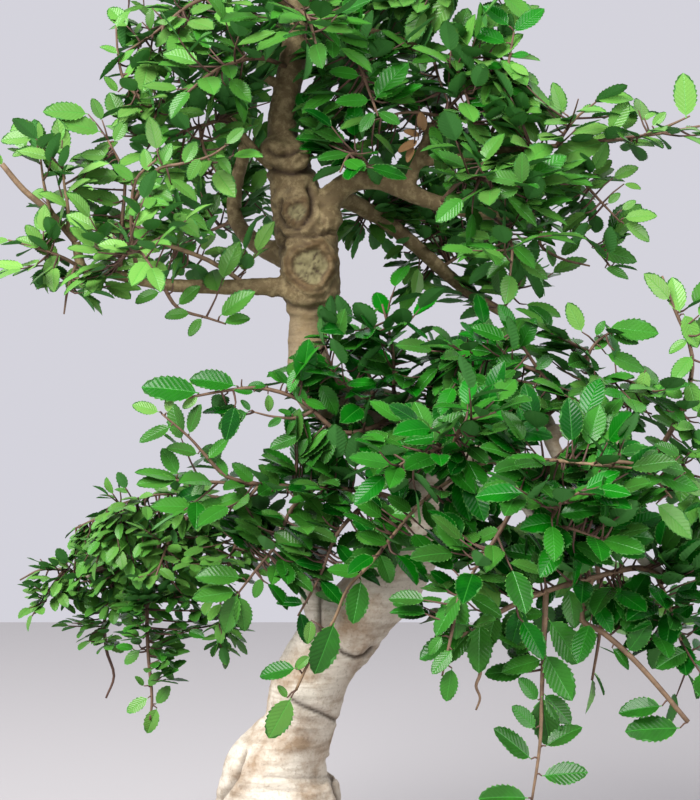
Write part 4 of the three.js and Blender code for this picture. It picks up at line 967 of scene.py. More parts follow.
def elm_bark(colours):
    """Smooth zelkova bark: pale cream low down, greyer above, with level wrinkles, and creases that hold
    painted shade.
    """
    material, tree, shader = new_material("zelkova_bark", 0.78)
    where = add(tree, "ShaderNodeTexCoord").outputs["Object"]
    height = add(tree, "ShaderNodeSeparateXYZ", {"Vector": where}).outputs["Z"]
    marks = add(tree, "ShaderNodeAttribute", attribute_name="marks")
    split = add(tree, "ShaderNodeSeparateColor", {"Color": marks.outputs["Color"]})
    # wrinkles run level round the trunk, 2 to 3 mm apart
    level = add(tree, "ShaderNodeMapping", {"Vector": where, "Scale": (60, 60, 420)}).outputs["Vector"]
    wrinkle = add(tree, "ShaderNodeTexNoise", {"Vector": level, "Scale": 1.0, "Detail": 5.0})
    # stains are patches 15 to 30 mm across, flakes of old bark 3 to 6 mm, and specks 1 to 2 mm
    patches = add(
        tree, "ShaderNodeTexNoise", {"Vector": where, "Scale": 48.0, "Detail": 5.0, "Roughness": 0.65}
    )
    flakes = add(
        tree, "ShaderNodeTexNoise", {"Vector": where, "Scale": 230.0, "Detail": 6.0, "Roughness": 0.7}
    )
    speck = add(tree, "ShaderNodeTexNoise", {"Vector": where, "Scale": 700.0, "Detail": 3.0})
    # the wood above the neck, 0.31 to 0.34 m up, is old
    ageing = add(tree, "ShaderNodeMapRange", {"Value": height, "From Min": 0.314, "From Max": 0.34})
    old = ageing.outputs["Result"]
    paint(tree, shader, colours.bark_pale, [
        (patches.outputs["Fac"], 0.44, 0.66, 1.0, colours.bark_tan),
        # from 0.24 m up, under the leaves, a darker ochre: partly a warm stain, partly painted shadow of the
        # leaves above
        (height, 0.24, 0.31, 0.66, "#8f723e"),
        (old, 0.0, 1.0, 1.0, colours.bark_grey),
        (wrinkle.outputs["Fac"], 0.5, 0.68, 0.35, "#66543c"),
        (speck.outputs["Fac"], 0.55, 0.75, 0.4, "#5c4c3b"),
        (flakes.outputs["Fac"], 0.47, 0.6, old, "#897957"),
        (split.outputs["Green"], 0.0, 1.0, 1.0, "#5a472b"),  # the warm ring of a wound
        (split.outputs["Blue"], 0.0, 1.0, 1.0, "#78724f"),  # its bare grey-green face
        (split.outputs["Red"], 0.0, 1.0, 1.0, "#36281a"),  # painted shade in creases, cracks, the grooves round wounds and the hollows of old wood
    ])
    shader.inputs["Specular IOR Level"].default_value = 0.3
    relief = add(
        tree, "ShaderNodeMath", {0: wrinkle.outputs["Fac"], 1: speck.outputs["Fac"]}, operation="ADD"
    )
    bump = add(
        tree, "ShaderNodeBump", {"Height": relief.outputs["Value"], "Strength": 0.55, "Distance": 0.0006}
    )
    tree.links.new(bump.outputs["Normal"], shader.inputs["Normal"])
    return material


def leaf_blade(colours):
    """Living leaf: a waxy upper side, quilted between its side veins, and a paler, duller underside."""
    material, tree, shader = new_material("zelkova_leaf", 0.5)
    marks = add(tree, "ShaderNodeAttribute", attribute_name="marks")
    split = add(tree, "ShaderNodeSeparateColor", {"Color": marks.outputs["Color"]})
    young, under, shade = split.outputs["Red"], split.outputs["Green"], split.outputs["Blue"]
    flat = add(tree, "ShaderNodeUVMap", uv_map="blade").outputs["UV"]
    axes = add(tree, "ShaderNodeSeparateXYZ", {"Vector": flat})
    across = add(tree, "ShaderNodeMath", {0: axes.outputs["Y"], 1: 0.5}, operation="SUBTRACT")
    away = add(tree, "ShaderNodeMath", {0: across.outputs["Value"]}, operation="ABSOLUTE").outputs["Value"]
    # side veins leave the midrib forwards, ten on each side
    lean = add(tree, "ShaderNodeMath", {0: away, 1: -0.9, 2: axes.outputs["X"]}, operation="MULTIPLY_ADD")
    turns = add(tree, "ShaderNodeMath", {0: lean.outputs["Value"], 1: 63.0}, operation="MULTIPLY")
    wave = add(tree, "ShaderNodeMath", {0: turns.outputs["Value"]}, operation="COSINE")
    vein = add(tree, "ShaderNodeMapRange", {"Value": wave.outputs["Value"], "From Min": 0.9, "From Max": 1.0})
    midrib = add(
        tree, "ShaderNodeMapRange",
        {"Value": away, "From Min": 0.004, "From Max": 0.016, "To Min": 1.0, "To Max": 0.0},
    )
    both = add(
        tree, "ShaderNodeMath", {0: vein.outputs["Result"], 1: 0.24, 2: midrib.outputs["Result"]},
        operation="MULTIPLY_ADD",
    )
    pale = add(tree, "ShaderNodeMath", {0: both.outputs["Value"], 1: 0.36}, operation="MULTIPLY")
    # cloudy patches 6 to 10 mm across, as the light and age of a blade leave them
    where = add(tree, "ShaderNodeTexCoord").outputs["Object"]
    cloud = add(tree, "ShaderNodeTexNoise", {"Vector": where, "Scale": 120.0, "Detail": 3.0})
    # the thin margin is painted paler, as painted light that shines through it
    outline = add(tree, "ShaderNodeFloatCurve", {"Value": axes.outputs["X"]})
    curve = outline.mapping.curves[0]
    curve.points[0].location = (0, 0)
    curve.points[-1].location = (1, 0)
    for step in range(1, 12):
        curve.points.new(step / 12, half_width(step / 12))
    outline.mapping.update()
    inward = add(tree, "ShaderNodeMath", {0: outline.outputs["Value"], 1: away}, operation="SUBTRACT")
    paint(tree, shader, colours.leaf_grown, [
        # painted shade: a deeper green laid over each leaf by its own share
        (shade, 0.0, 1.0, 1.0, "#04390a"),
        (cloud.outputs["Fac"], 0.42, 1.0, 0.6, "#18740f"),
        # new leaves are yellow-green; where a spray's number is raised, this also paints light through and
        # among its leaves
        (young, 0.0, 1.0, 1.0, colours.leaf_young),
        (pale.outputs["Value"], 0.0, 1.0, 1.0, "#3f9434"),
        (under, 0.0, 1.0, 1.0, "#3c7434"),
        # painted light through the thin margin
        (inward.outputs["Value"], 0.016, -0.004, 0.7, "#72ae4e"),
        (marks.outputs["Alpha"], 1.0, 0.0, 1.0, "#9a7650"),  # dry, where it isn't alive
    ])
    wax = add(tree, "ShaderNodeMapRange", {"Value": under, "To Min": 0.26, "To Max": 0.7})
    tree.links.new(wax.outputs["Result"], shader.inputs["Roughness"])
    shader.inputs["Specular IOR Level"].default_value = 0.19
    quilt = add(
        tree, "ShaderNodeMath", {0: wave.outputs["Value"], 1: 0.3, 2: midrib.outputs["Result"]},
        operation="MULTIPLY_ADD",
    )
    bump = add(
        tree, "ShaderNodeBump", {"Height": quilt.outputs["Value"], "Strength": 0.36, "Distance": 0.0003},
        invert=True,
    )
    tree.links.new(bump.outputs["Normal"], shader.inputs["Normal"])
    return material


def twig_bark(colours):
    """Bark of thin twigs: reddish brown this year, greyer on the older wood."""
    material, tree, shader = new_material("twig_bark", 0.7)
    where = add(tree, "ShaderNodeTexCoord").outputs["Object"]
    marks = add(tree, "ShaderNodeAttribute", attribute_name="marks")
    split = add(tree, "ShaderNodeSeparateColor", {"Color": marks.outputs["Color"]})
    # mottled in patches 3 to 4 mm across
    patches = add(tree, "ShaderNodeTexNoise", {"Vector": where, "Scale": 300.0, "Detail": 3.0})
    paint(tree, shader, colours.twig_red, [
        (split.outputs["Red"], 0.0, 1.0, 1.0, "#a08460"),
        (patches.outputs["Fac"], 0.0, 1.0, 1.0, "#38261e"),
    ])
    return material


def fired_clay(colours):
    """Unglazed stoneware: matt, with fine sand and slow changes of tone from the kiln."""
    material, tree, shader = new_material("unglazed_stoneware", 0.82)
    where = add(tree, "ShaderNodeTexCoord").outputs["Object"]
    # the kiln's tones change over 50 to 60 mm, and the grains of sand are about 1 mm across
    kiln = add(tree, "ShaderNodeTexNoise", {"Vector": where, "Scale": 18.0, "Detail": 4.0})
    sand = add(tree, "ShaderNodeTexNoise", {"Vector": where, "Scale": 900.0, "Detail": 2.0})
    paint(tree, shader, colours.stoneware, [
        (kiln.outputs["Fac"], 0.0, 1.0, 1.0, "#503528"),
        (sand.outputs["Fac"], 0.58, 0.72, 0.5, "#96765f"),
    ])
    bump = add(tree, "ShaderNodeBump", {"Height": sand.outputs["Fac"], "Strength": 0.4, "Distance": 0.0004})
    tree.links.new(bump.outputs["Normal"], shader.inputs["Normal"])
    return material


def baked_grains():
    """Moist baked clay grains, as in bonsai soil: dull brown, each grain a little different."""
    material, tree, shader = new_material("baked_clay_soil", 0.95)
    where = add(tree, "ShaderNodeTexCoord").outputs["Object"]
    # one tone to a grain of 4 mm, with crumbs of about 1 mm
    cells = add(tree, "ShaderNodeTexVoronoi", {"Vector": where, "Scale": 230.0})
    tone = add(tree, "ShaderNodeSeparateColor", {"Color": cells.outputs["Color"]}).outputs["Red"]
    paint(tree, shader, "#4a3627", [(tone, 0.0, 1.0, 1.0, "#7a5a3e")])
    crumb = add(tree, "ShaderNodeTexNoise", {"Vector": where, "Scale": 1200.0, "Detail": 3.0})
    bump = add(tree, "ShaderNodeBump", {"Height": crumb.outputs["Fac"], "Strength": 0.6, "Distance": 0.0005})
    tree.links.new(bump.outputs["Normal"], shader.inputs["Normal"])
    return material


def moulded_net():
    """Moulded polythene of the drainage meshes: dark and slightly waxy."""
    material, tree, shader = new_material("moulded_polythene", 0.55)
    where = add(tree, "ShaderNodeTexCoord").outputs["Object"]
    # dust lies in patches 2 mm across
    dust = add(tree, "ShaderNodeTexNoise", {"Vector": where, "Scale": 500.0, "Detail": 3.0}).outputs["Fac"]
    paint(tree, shader, "#1d2123", [(dust, 0.0, 1.0, 1.0, "#35383a")])
    return material


# Wood

TRUNK_SIDES = 40
LIMB_SIDES = 20
THIN_SIDES = 12
SHOOT_SIDES = 7
TWIG_SIDES = 5
WOUND_SIDES = 24
ROOT_STEPS = 12
STATION_STEPS = 4  # from one station of the trunk, a limb or a shoot to the next
GROWN_RADIUS = 2.4  # limbs stouter than this grow together with the trunk
SMOOTHINGS = 4
ON_TRUNK = (1.35, 2)  # times the trunk's radius, and mm more, within which wood counts as the trunk
LIMB_RELIEF = 0.3  # share of the trunk's relief that limbs have
ROUGH_RADIUS = 12  # a thinner trunk has less relief
JOIN = 1e-4  # corners nearer than this become one


def limb_stations(stations):
    """Centres and radii along a limb, with steps added between its stations."""
    route = Route([place(station) for station in stations])
    radii = [station[3] for station in stations]
    count = (len(stations) - 1) * STATION_STEPS
    shares = [i / count for i in range(count + 1)]
    return [route.at(share) for share in shares], [between(radii, share) for share in shares]


def healed_wound(scar):
    """The rounded ring of a healed wound, spun from its profile."""
    x, z, outer, hollow = scar
    depth = outer * 0.75
    profile = [
        (0, -depth), (outer * 0.92, -depth), (outer, depth * 0.2), ((outer + hollow) / 2, depth * 0.5),
        (hollow, depth * 0.3), (0, depth * 0.1),
    ]
    bm = bmesh.new()
    corners = [bm.verts.new((radius, 0, height)) for radius, height in profile]
    edges = [bm.edges.new(pair) for pair in zip(corners, corners[1:])]
    bmesh.ops.spin(
        bm, geom=corners + edges, cent=(0, 0, 0), axis=UP, angle=math.tau, steps=WOUND_SIDES, use_merge=True
    )
    bmesh.ops.remove_doubles(bm, verts=bm.verts, dist=JOIN)
    facing = Matrix.Translation((x, -WOUND_DEPTH, z)) @ Matrix.Rotation(math.pi / 2, 4, "X")
    bmesh.ops.transform(bm, matrix=facing, verts=bm.verts)
    bmesh.ops.recalc_face_normals(bm, faces=bm.faces)
    return bm


# Creases and cracks seen from the front: points [x, z], half width, depth, and how much painted shade lies in
# them
CREASES = [
    ([(6.5, 167.5), (12, 163), (17.5, 161), (22, 162.5), (26, 166)], 1.0, 1.4, 1.0),
    ([(-14, 140), (-7.5, 136.5), (0, 133.5), (7.5, 130)], 1.0, 1.2, 0.9),
    ([(1, 198), (0, 186), (0, 176), (3, 170)], 0.9, 1.3, 0.9),
    ([(-37.7, 114), (-41.7, 101.5), (-50, 90)], 1.1, 1.8, 0.6),
    ([(4, 110), (6, 100), (10.5, 88)], 1.1, 2.0, 0.8),
    ([(-28, 102), (-12, 101), (2, 101.5), (14, 100)], 0.7, 0.5, 0.4),
    ([(-40, 96), (-22, 95), (-6, 94.5)], 0.6, 0.4, 0.25),
    ([(-6, 396), (-4, 390), (-4.5, 383), (-8, 378)], 1.2, 1.8, 1.0),
    ([(-19, 390), (-20.5, 383), (-17, 376.5), (-10, 375)], 1.0, 1.5, 0.9),
    ([(-20, 374), (-18.5, 369), (-20, 366)], 1.0, 1.4, 0.8),
    ([(-19, 371), (-11, 372.5), (-3, 371.5), (6, 374)], 1.1, 1.5, 0.7),
    ([(-21, 341), (-14, 336.5), (-5, 335), (5, 338), (9, 341)], 1.3, 1.5, 0.5),
    ([(-30, 407), (-22, 404.5), (-14, 403), (-6, 404.5), (-3, 409)], 1.4, 2.0, 1.0),
    ([(-26, 415), (-22, 411.5), (-15, 412.5), (-9, 416)], 1.1, 1.5, 0.9),
    ([(-12, 424), (-7, 419), (-3, 414)], 1.1, 1.5, 0.8),
]
# The grooves round a wound, as shares of its size: reach, width, depth in mm, and how much painted shade lies
# in them
WOUND_LINES = [
    (0.63, 0.05, 0.5, 0.85), (0.86, 0.045, 0.7, 0.6), (1.12, 0.06, 0.6, 0.45), (0.34, 0.03, 0.2, 0.3),
]
WOUND_REACH = 1.3  # of a wound's radius, beyond which it leaves no mark
WOUND_UNEVEN = 0.2  # how far its rings leave the round
RING_RISE = 0.07  # share of its radius by which the ring stands out
FACE_SINK = 0.1  # and by which the face lies back
SPOKES = 4.5  # how closely the cracks of the face follow one another round it
GNARLED = (383, 42)  # the height round which the old wood is roughest, and how far that reaches
# Waves of the bark: turns for each mm across and up the wood, and how far they stand out
BARK_WAVES = ((0.045, 0.045, 1.1), (0.05, 0.33, 0.45), (0.3, 1.2, 0.14))
FOLDS = (0.16, 0.24, 2.6)  # of the gnarled wood, where the last number sharpens them
FOLD_RISE = (0.8, 0.2)  # how far they stand out, and how far the wood between them lies back
CREASE_SEEN = 0.25  # bark that turns further back than this has no creases
CREASE_ROOM = 8  # round a crease, beyond which it changes nothing
CREASE_LIP = (3, 1.6, 0.35)  # from the crease, its half width, and its share of the depth


def to_path(x, z, path):
    """Distance from a point to a row of joined points, as seen from the front."""
    spot = Vector((x, z))
    best = 1e9
    for start, end in zip(path, path[1:]):
        a, b = Vector(start), Vector(end)
        run = b - a
        share = clamped((spot - a).dot(run) / run.length_squared)
        best = min(best, (spot - a - run * share).length)
    return best


def bell(away, half_wide):
    """A smooth hump: 1 in its middle, and about a third of that half_wide away."""
    return math.exp(-((away / half_wide) ** 2))


def healed(x, z, scar):
    """A healed wound's rings and sunk face: how far they stand out at a point, and their three marks: painted
    shade in its grooves and cracks, the warm ring and the bare face.
    """
    cx, cz, outer, hollow = scar
    angle = math.atan2(z - cz, x - cx)
    uneven = noise.noise(Vector((math.cos(angle), math.sin(angle), cx)) * 1.3)
    away = math.hypot(x - cx, z - cz) * (1 + WOUND_UNEVEN * uneven)
    if away > outer * WOUND_REACH:
        return 0, 0, 0, 0
    rough = noise.fractal(Vector((x, z, cx)) * 0.5, 0.9, 2.0, 4)
    spokes = noise.noise(Vector((angle * SPOKES, away * 0.12, cx)))
    # inside is 1 on the sunk face, and band is 1 on the ring round it
    inside = clamped((hollow * 1.08 - away) / (hollow * 0.16))
    band = clamped((outer * 1.02 - away) / (outer * 0.1)) * (1 - inside)
    ring = bell((away - (outer + hollow) / 2) / (outer - hollow), 1 / 2.4) * (1 + 0.6 * uneven + 0.35 * rough)
    out = outer * (ring * RING_RISE - inside * FACE_SINK) + inside * (spokes * 0.9 + rough * 0.3)
    dark = 0
    # painted shade in the grooves round the wound
    for reach, width, depth, shade_amount in WOUND_LINES:
        line = bell(away - reach * outer * (1 + 0.05 * rough), width * outer)
        out -= line * depth
        dark = max(dark, line * shade_amount * (0.75 + 0.5 * uneven))
    # painted shade in the cracks and low spots of the sunk face
    dark = max(dark, inside * max(0, -0.12 - spokes) * 2.4, inside * max(0, 0.2 - rough) * 0.8)
    return out, dark, band * max(0, 0.75 + spokes), inside * 0.85


def bark_wave(position, across, up, height):
    """How far one of the bark's waves stands out at a point."""
    return noise.noise(Vector((position.x * across, position.y * across, position.z * up))) * height


def bark_relief(position, normal, stoutness):
    """How far the bark stands out at a point, in mm, with the painted shade in its creases and hollows, and
    its warm and bare marks.
    """
    old = bell(position.z - GNARLED[0], GNARLED[1])
    folds = 1 - abs(bark_wave(position, *FOLDS))
    out = sum(bark_wave(position, *wave) for wave in BARK_WAVES)
    out = (out + old * (max(folds, -0.6) * FOLD_RISE[0] - FOLD_RISE[1])) * stoutness
    # painted shade in the hollows between the folds of the old wood
    dark = old * max(0, -folds) * 0.6 * stoutness
    warm, bare = 0.0, 0.0
    if normal.y < CREASE_SEEN:
        x, z = as_seen(position)
        lip_away, lip_wide, lip_share = CREASE_LIP
        for path, half_wide, depth, shade_amount in CREASES:
            across, up = zip(*path)
            if not min(across) - CREASE_ROOM < x < max(across) + CREASE_ROOM:
                continue
            if min(up) - CREASE_ROOM < z < max(up) + CREASE_ROOM:
                away = to_path(x, z, path)
                groove = bell(away, half_wide)
                out += bell(away - lip_away, lip_wide) * depth * lip_share - groove * depth
                # painted shade in the crease's groove
                dark = max(dark, groove * shade_amount)
        if position.y < 0:
            for scar in SCARS:
                raised, shadow, tint, face = healed(x, z, scar)
                out += raised
                dark, warm, bare = max(dark, shadow), max(warm, tint), max(bare, face)
    return out, dark, warm, bare


class ZELKOVA_OT_wood(bpy.types.Operator):
    """Grow the trunk with its roots, limbs, healed wounds and bark"""

    bl_idname = "zelkova.wood"
    bl_label = "Wood"

    def execute(self, context):
        sizes = context.scene.zelkova_sizes
        bark = elm_bark(context.scene.zelkova_colours)
        thick = bmesh.new()
        trunk_centres, trunk_radii = limb_stations(TRUNK)
        take_in(thick, grow_tube(trunk_centres, trunk_radii, TRUNK_SIDES))
        foot_x, foot_y = TRUNK[2][:2]
        for compass, reach, radius in ROOTS:
            angle = math.radians(compass)
            across, along = math.cos(angle) * reach, math.sin(angle) * reach
            route = Route(
                [Vector((foot_x + across * share, foot_y + along * share, z)) for share, z, _ in ROOT_RUN]
            )
            shares = [i / ROOT_STEPS for i in range(ROOT_STEPS + 1)]
            radii = [between([station[2] * radius for station in ROOT_RUN], share) for share in shares]
            take_in(thick, grow_tube([route.at(share) for share in shares], radii, LIMB_SIDES))
        thin = bmesh.new()
        for stations in LIMBS:
            centres, radii = limb_stations(stations)
            stout = [i for i, radius in enumerate(radii) if radius > GROWN_RADIUS]
            if len(stout) > 2:
                take_in(thick, grow_tube(centres[: stout[-1] + 1], radii[: stout[-1] + 1], LIMB_SIDES))
            first_thin = max(stout[-1] - 2, 0) if stout else 0
            if len(centres) - first_thin > 2:
                take_in(thin, grow_tube(centres[first_thin:], radii[first_thin:], THIN_SIDES))
        for scar in SCARS:
            take_in(thick, healed_wound(scar))
        for x, y, z, radius in BURLS:
            swelling = bmesh.new()
            bmesh.ops.create_icosphere(
                swelling, subdivisions=3, radius=radius, matrix=Matrix.Translation((x, y, z))
            )
            take_in(thick, swelling)
        piece = finish_piece(thick, "trunk_wood", [bark], ["trunk"])
        skin = piece.modifiers.new("grown_together", "REMESH")
        skin.mode = "VOXEL"
        skin.voxel_size = sizes.bark_step
        grown = applied(piece)
        bm = bmesh.new()
        bm.from_mesh(grown)
        bmesh.ops.transform(bm, matrix=TO_TREE, verts=bm.verts)
        for _ in range(SMOOTHINGS):
            bmesh.ops.smooth_vert(
                bm, verts=bm.verts, factor=0.5, use_axis_x=True, use_axis_y=True, use_axis_z=True
            )
        bm.normal_update()
        near_trunk = kdtree.KDTree(len(trunk_centres))
        for index, centre in enumerate(trunk_centres):
            near_trunk.insert(centre, index)
        near_trunk.balance()
        bmesh.ops.recalc_face_normals(thin, faces=thin.faces)
        marks = bm.verts.layers.float_color.new("marks")
        moves = []
        for vert in bm.verts:
            _, index, away = near_trunk.find(vert.co)
            stoutness = 1.0 if away < trunk_radii[index] * ON_TRUNK[0] + ON_TRUNK[1] else LIMB_RELIEF
            stoutness *= min(1, trunk_radii[index] / ROUGH_RADIUS)
            out, dark, warm, bare = bark_relief(vert.co, vert.normal, stoutness)
            moves.append(vert.co + vert.normal * out)
            vert[marks] = (min(dark, 1), min(warm, 1), bare, 1)
        for vert, moved in zip(bm.verts, moves):
            vert.co = moved
        thin_marks = thin.verts.layers.float_color.new("marks")
        for vert in thin.verts:
            vert[thin_marks] = (0, 0, 0, 1)
        take_in(bm, thin)
        for face in bm.faces:
            face.smooth = True
        bmesh.ops.transform(bm, matrix=TO_ROW, verts=bm.verts)
        bm.to_mesh(piece.data)
        bm.free()
        bpy.data.meshes.remove(grown)
        return {"FINISHED"}


# Leaves

NEAR_TEETH = 8  # on each side of a blade
FAR_TEETH = 5  # the small blades, and those behind the trunk
BLADE_CUTS = (0.3, 0.52, 0.74)
# Shares of a blade's length
BLADE_START = 0.06
STALK_EDGE = ((0.0, 0.012), (BLADE_START, 0.014))  # along the blade, and half the width there
TEETH_START = 0.1
TEETH_SPAN = 0.84
TOOTH_LEAN = 0.78  # of a tooth's length, where its point is
NOTCH = 0.91  # of the half width
TOOTH_OUT = 0.013
BLADE_THICK = 0.014
BLADE_WAVE = (0.014, 9)  # height and turns of the wave of its rim
# The middle of a blade, and its outer part, which has to stay out of the openings
BLADE_MIDDLE = Vector((0.5, 0, 0))
BLADE_HEART = Vector((0.6, 0, 0))
# Each blade's fold along the midrib, arch and twist
BLADE_BENDS = ((0.2, 0.1, 0), (0.3, 0.16, 0.12), (0.12, 0.06, -0.1), (0.25, 0.2, -0.16), (0.16, 0.02, 0.14))
# Corners of the room that any blade takes up
BLADE_REACH = (
    (1.02, 0, 0.06), (1.02, 0, -0.2), (0.5, 0.29, 0.12), (0.5, -0.29, 0.12), (0.5, 0, -0.1), (0, 0, 0),
)


def half_width(along):
    """Half the width of a blade, as a share of its length: blunt at the tip, round at the foot."""
    share = clamped((along - BLADE_START) / (1 - BLADE_START))
    return LEAF_HALF_WIDTH * math.sin(math.pi * share**0.92) ** 0.62


def leaf_pattern(teeth, fold, arch, twist):
    """A toothed blade of length 1 along X, closed at its rim, with its flat shape kept as its map."""
    bm = bmesh.new()
    rim = [*STALK_EDGE]
    pitch = TEETH_SPAN / teeth
    for tooth in range(teeth):
        notch = TEETH_START + pitch * tooth
        point = notch + pitch * TOOTH_LEAN
        rim.append((notch, half_width(notch) * NOTCH))
        rim.append((point, half_width(point) + TOOTH_OUT))
    rim.append((1.0, 0.0))
    corners = [bm.verts.new((along, out, 0)) for along, out in rim]
    foot = bm.verts.new((0, 0, 0))
    bm.faces.new([foot, *corners[::-1]])
    for cut in BLADE_CUTS:
        bmesh.ops.bisect_plane(
            bm, geom=[*bm.verts, *bm.edges, *bm.faces], plane_co=(cut, 0, 0), plane_no=(1, 0, 0), dist=JOIN
        )
    bmesh.ops.mirror(bm, geom=[*bm.verts, *bm.edges, *bm.faces], axis="Y", merge_dist=JOIN)
    bmesh.ops.recalc_face_normals(bm, faces=bm.faces)
    if sum(face.normal.z for face in bm.faces) < 0:
        bmesh.ops.reverse_faces(bm, faces=bm.faces)
    flat_map = bm.loops.layers.uv.new("blade")
    marks = bm.loops.layers.float_color.new("marks")
    for edge in bm.edges:
        edge.smooth = not (edge.is_boundary or all(abs(vert.co.y) < JOIN for vert in edge.verts))
    for face in bm.faces:
        face.smooth = True
        for loop in face.loops:
            loop[flat_map].uv = (loop.vert.co.x, 0.5 + loop.vert.co.y)
            loop[marks] = (0, 0, 0, 1)
    below = bmesh.ops.duplicate(bm, geom=[*bm.verts, *bm.edges, *bm.faces])["geom"]
    under = [item for item in below if isinstance(item, bmesh.types.BMFace)]
    bmesh.ops.reverse_faces(bm, faces=under)
    beneath = {item for item in below if isinstance(item, bmesh.types.BMVert)}
    for face in under:
        for loop in face.loops:
            loop[marks] = (0, 1, 0, 1)
    for vert in bm.verts:
        along, out = vert.co.x, vert.co.y
        inside = abs(out) < JOIN and 0.01 < along < 0.99
        thickness = (-BLADE_THICK if vert in beneath else BLADE_THICK) * inside
        phase = along * BLADE_WAVE[1] + (2 if out > 0 else 0)
        wave = BLADE_WAVE[0] * math.sin(phase) * abs(out) / LEAF_HALF_WIDTH
        lift = fold * abs(out) - arch * along * along + twist * out * along + wave
        vert.co = Vector((along, out, lift + thickness))
    bmesh.ops.remove_doubles(bm, verts=bm.verts, dist=1e-5)
    return as_mesh(bm, "leaf_pattern")


def turned_leaf(foot, axis, normal, size):
    """Where a blade lies: its foot, its length along axis and its upper side to the normal."""
    normal = (normal - axis * normal.dot(axis)).normalized()
    turn = Matrix((axis, normal.cross(axis), normal)).transposed().to_4x4()
    return Matrix.Translation(foot) @ turn @ Matrix.Scale(size, 4)


def leaf_frame(base, tangent, hand, spread, size, roll):
    """Blades lie fairly level and turn a little outwards from the trunk, each with its own tilt."""
    level = tangent.cross(UP)
    if level.length_squared < STEEP:
        level = Vector((base.y, -base.x, 0.1))
    level.normalize()
    axis = tangent * math.cos(spread) + level * (hand * math.sin(spread)) + UP * ((roll() - 0.5) * LEAF_PITCH)
    normal = Vector((base.x * LEAF_OUTWARD[0], base.y * LEAF_OUTWARD[1], 1))
    normal.x += (roll() - 0.5) * LEAF_TILT
    normal.y += (roll() - 0.5) * LEAF_TILT - LEAF_FORWARD
    return turned_leaf(base, axis.normalized(), normal, size)


def within_reach(points):
    """Whether points lie inside the tree's measured outline."""
    low, high = REACH_LOW + REACH_EASE, REACH_HIGH - REACH_EASE
    return all(low[i] < point[i] < high[i] for point in points for i in range(3))


def in_opening(position):
    """Whether a point appears where the tree is open from the front, or before bare wood."""
    x, z = as_seen(position)
    if any(left < x < right and low < z < high for left, low, right, high in OPENINGS):
        return True
    return any(
        left < x < right and low < z < high and position.y < depth
        for left, low, right, high, depth in BARE_WOOD
    )


def wood_room():
    """The centres and radii of the trunk and limbs, to keep leaves out of them."""
    rows = [limb_stations(row) for row in (TRUNK, *LIMBS)]
    stations = [station for centres, radii in rows for station in zip(centres, radii)]
    room = kdtree.KDTree(len(stations))
    for index, (centre, _) in enumerate(stations):
        room.insert(centre, index)
    room.balance()
    return room, [radius for _, radius in stations]


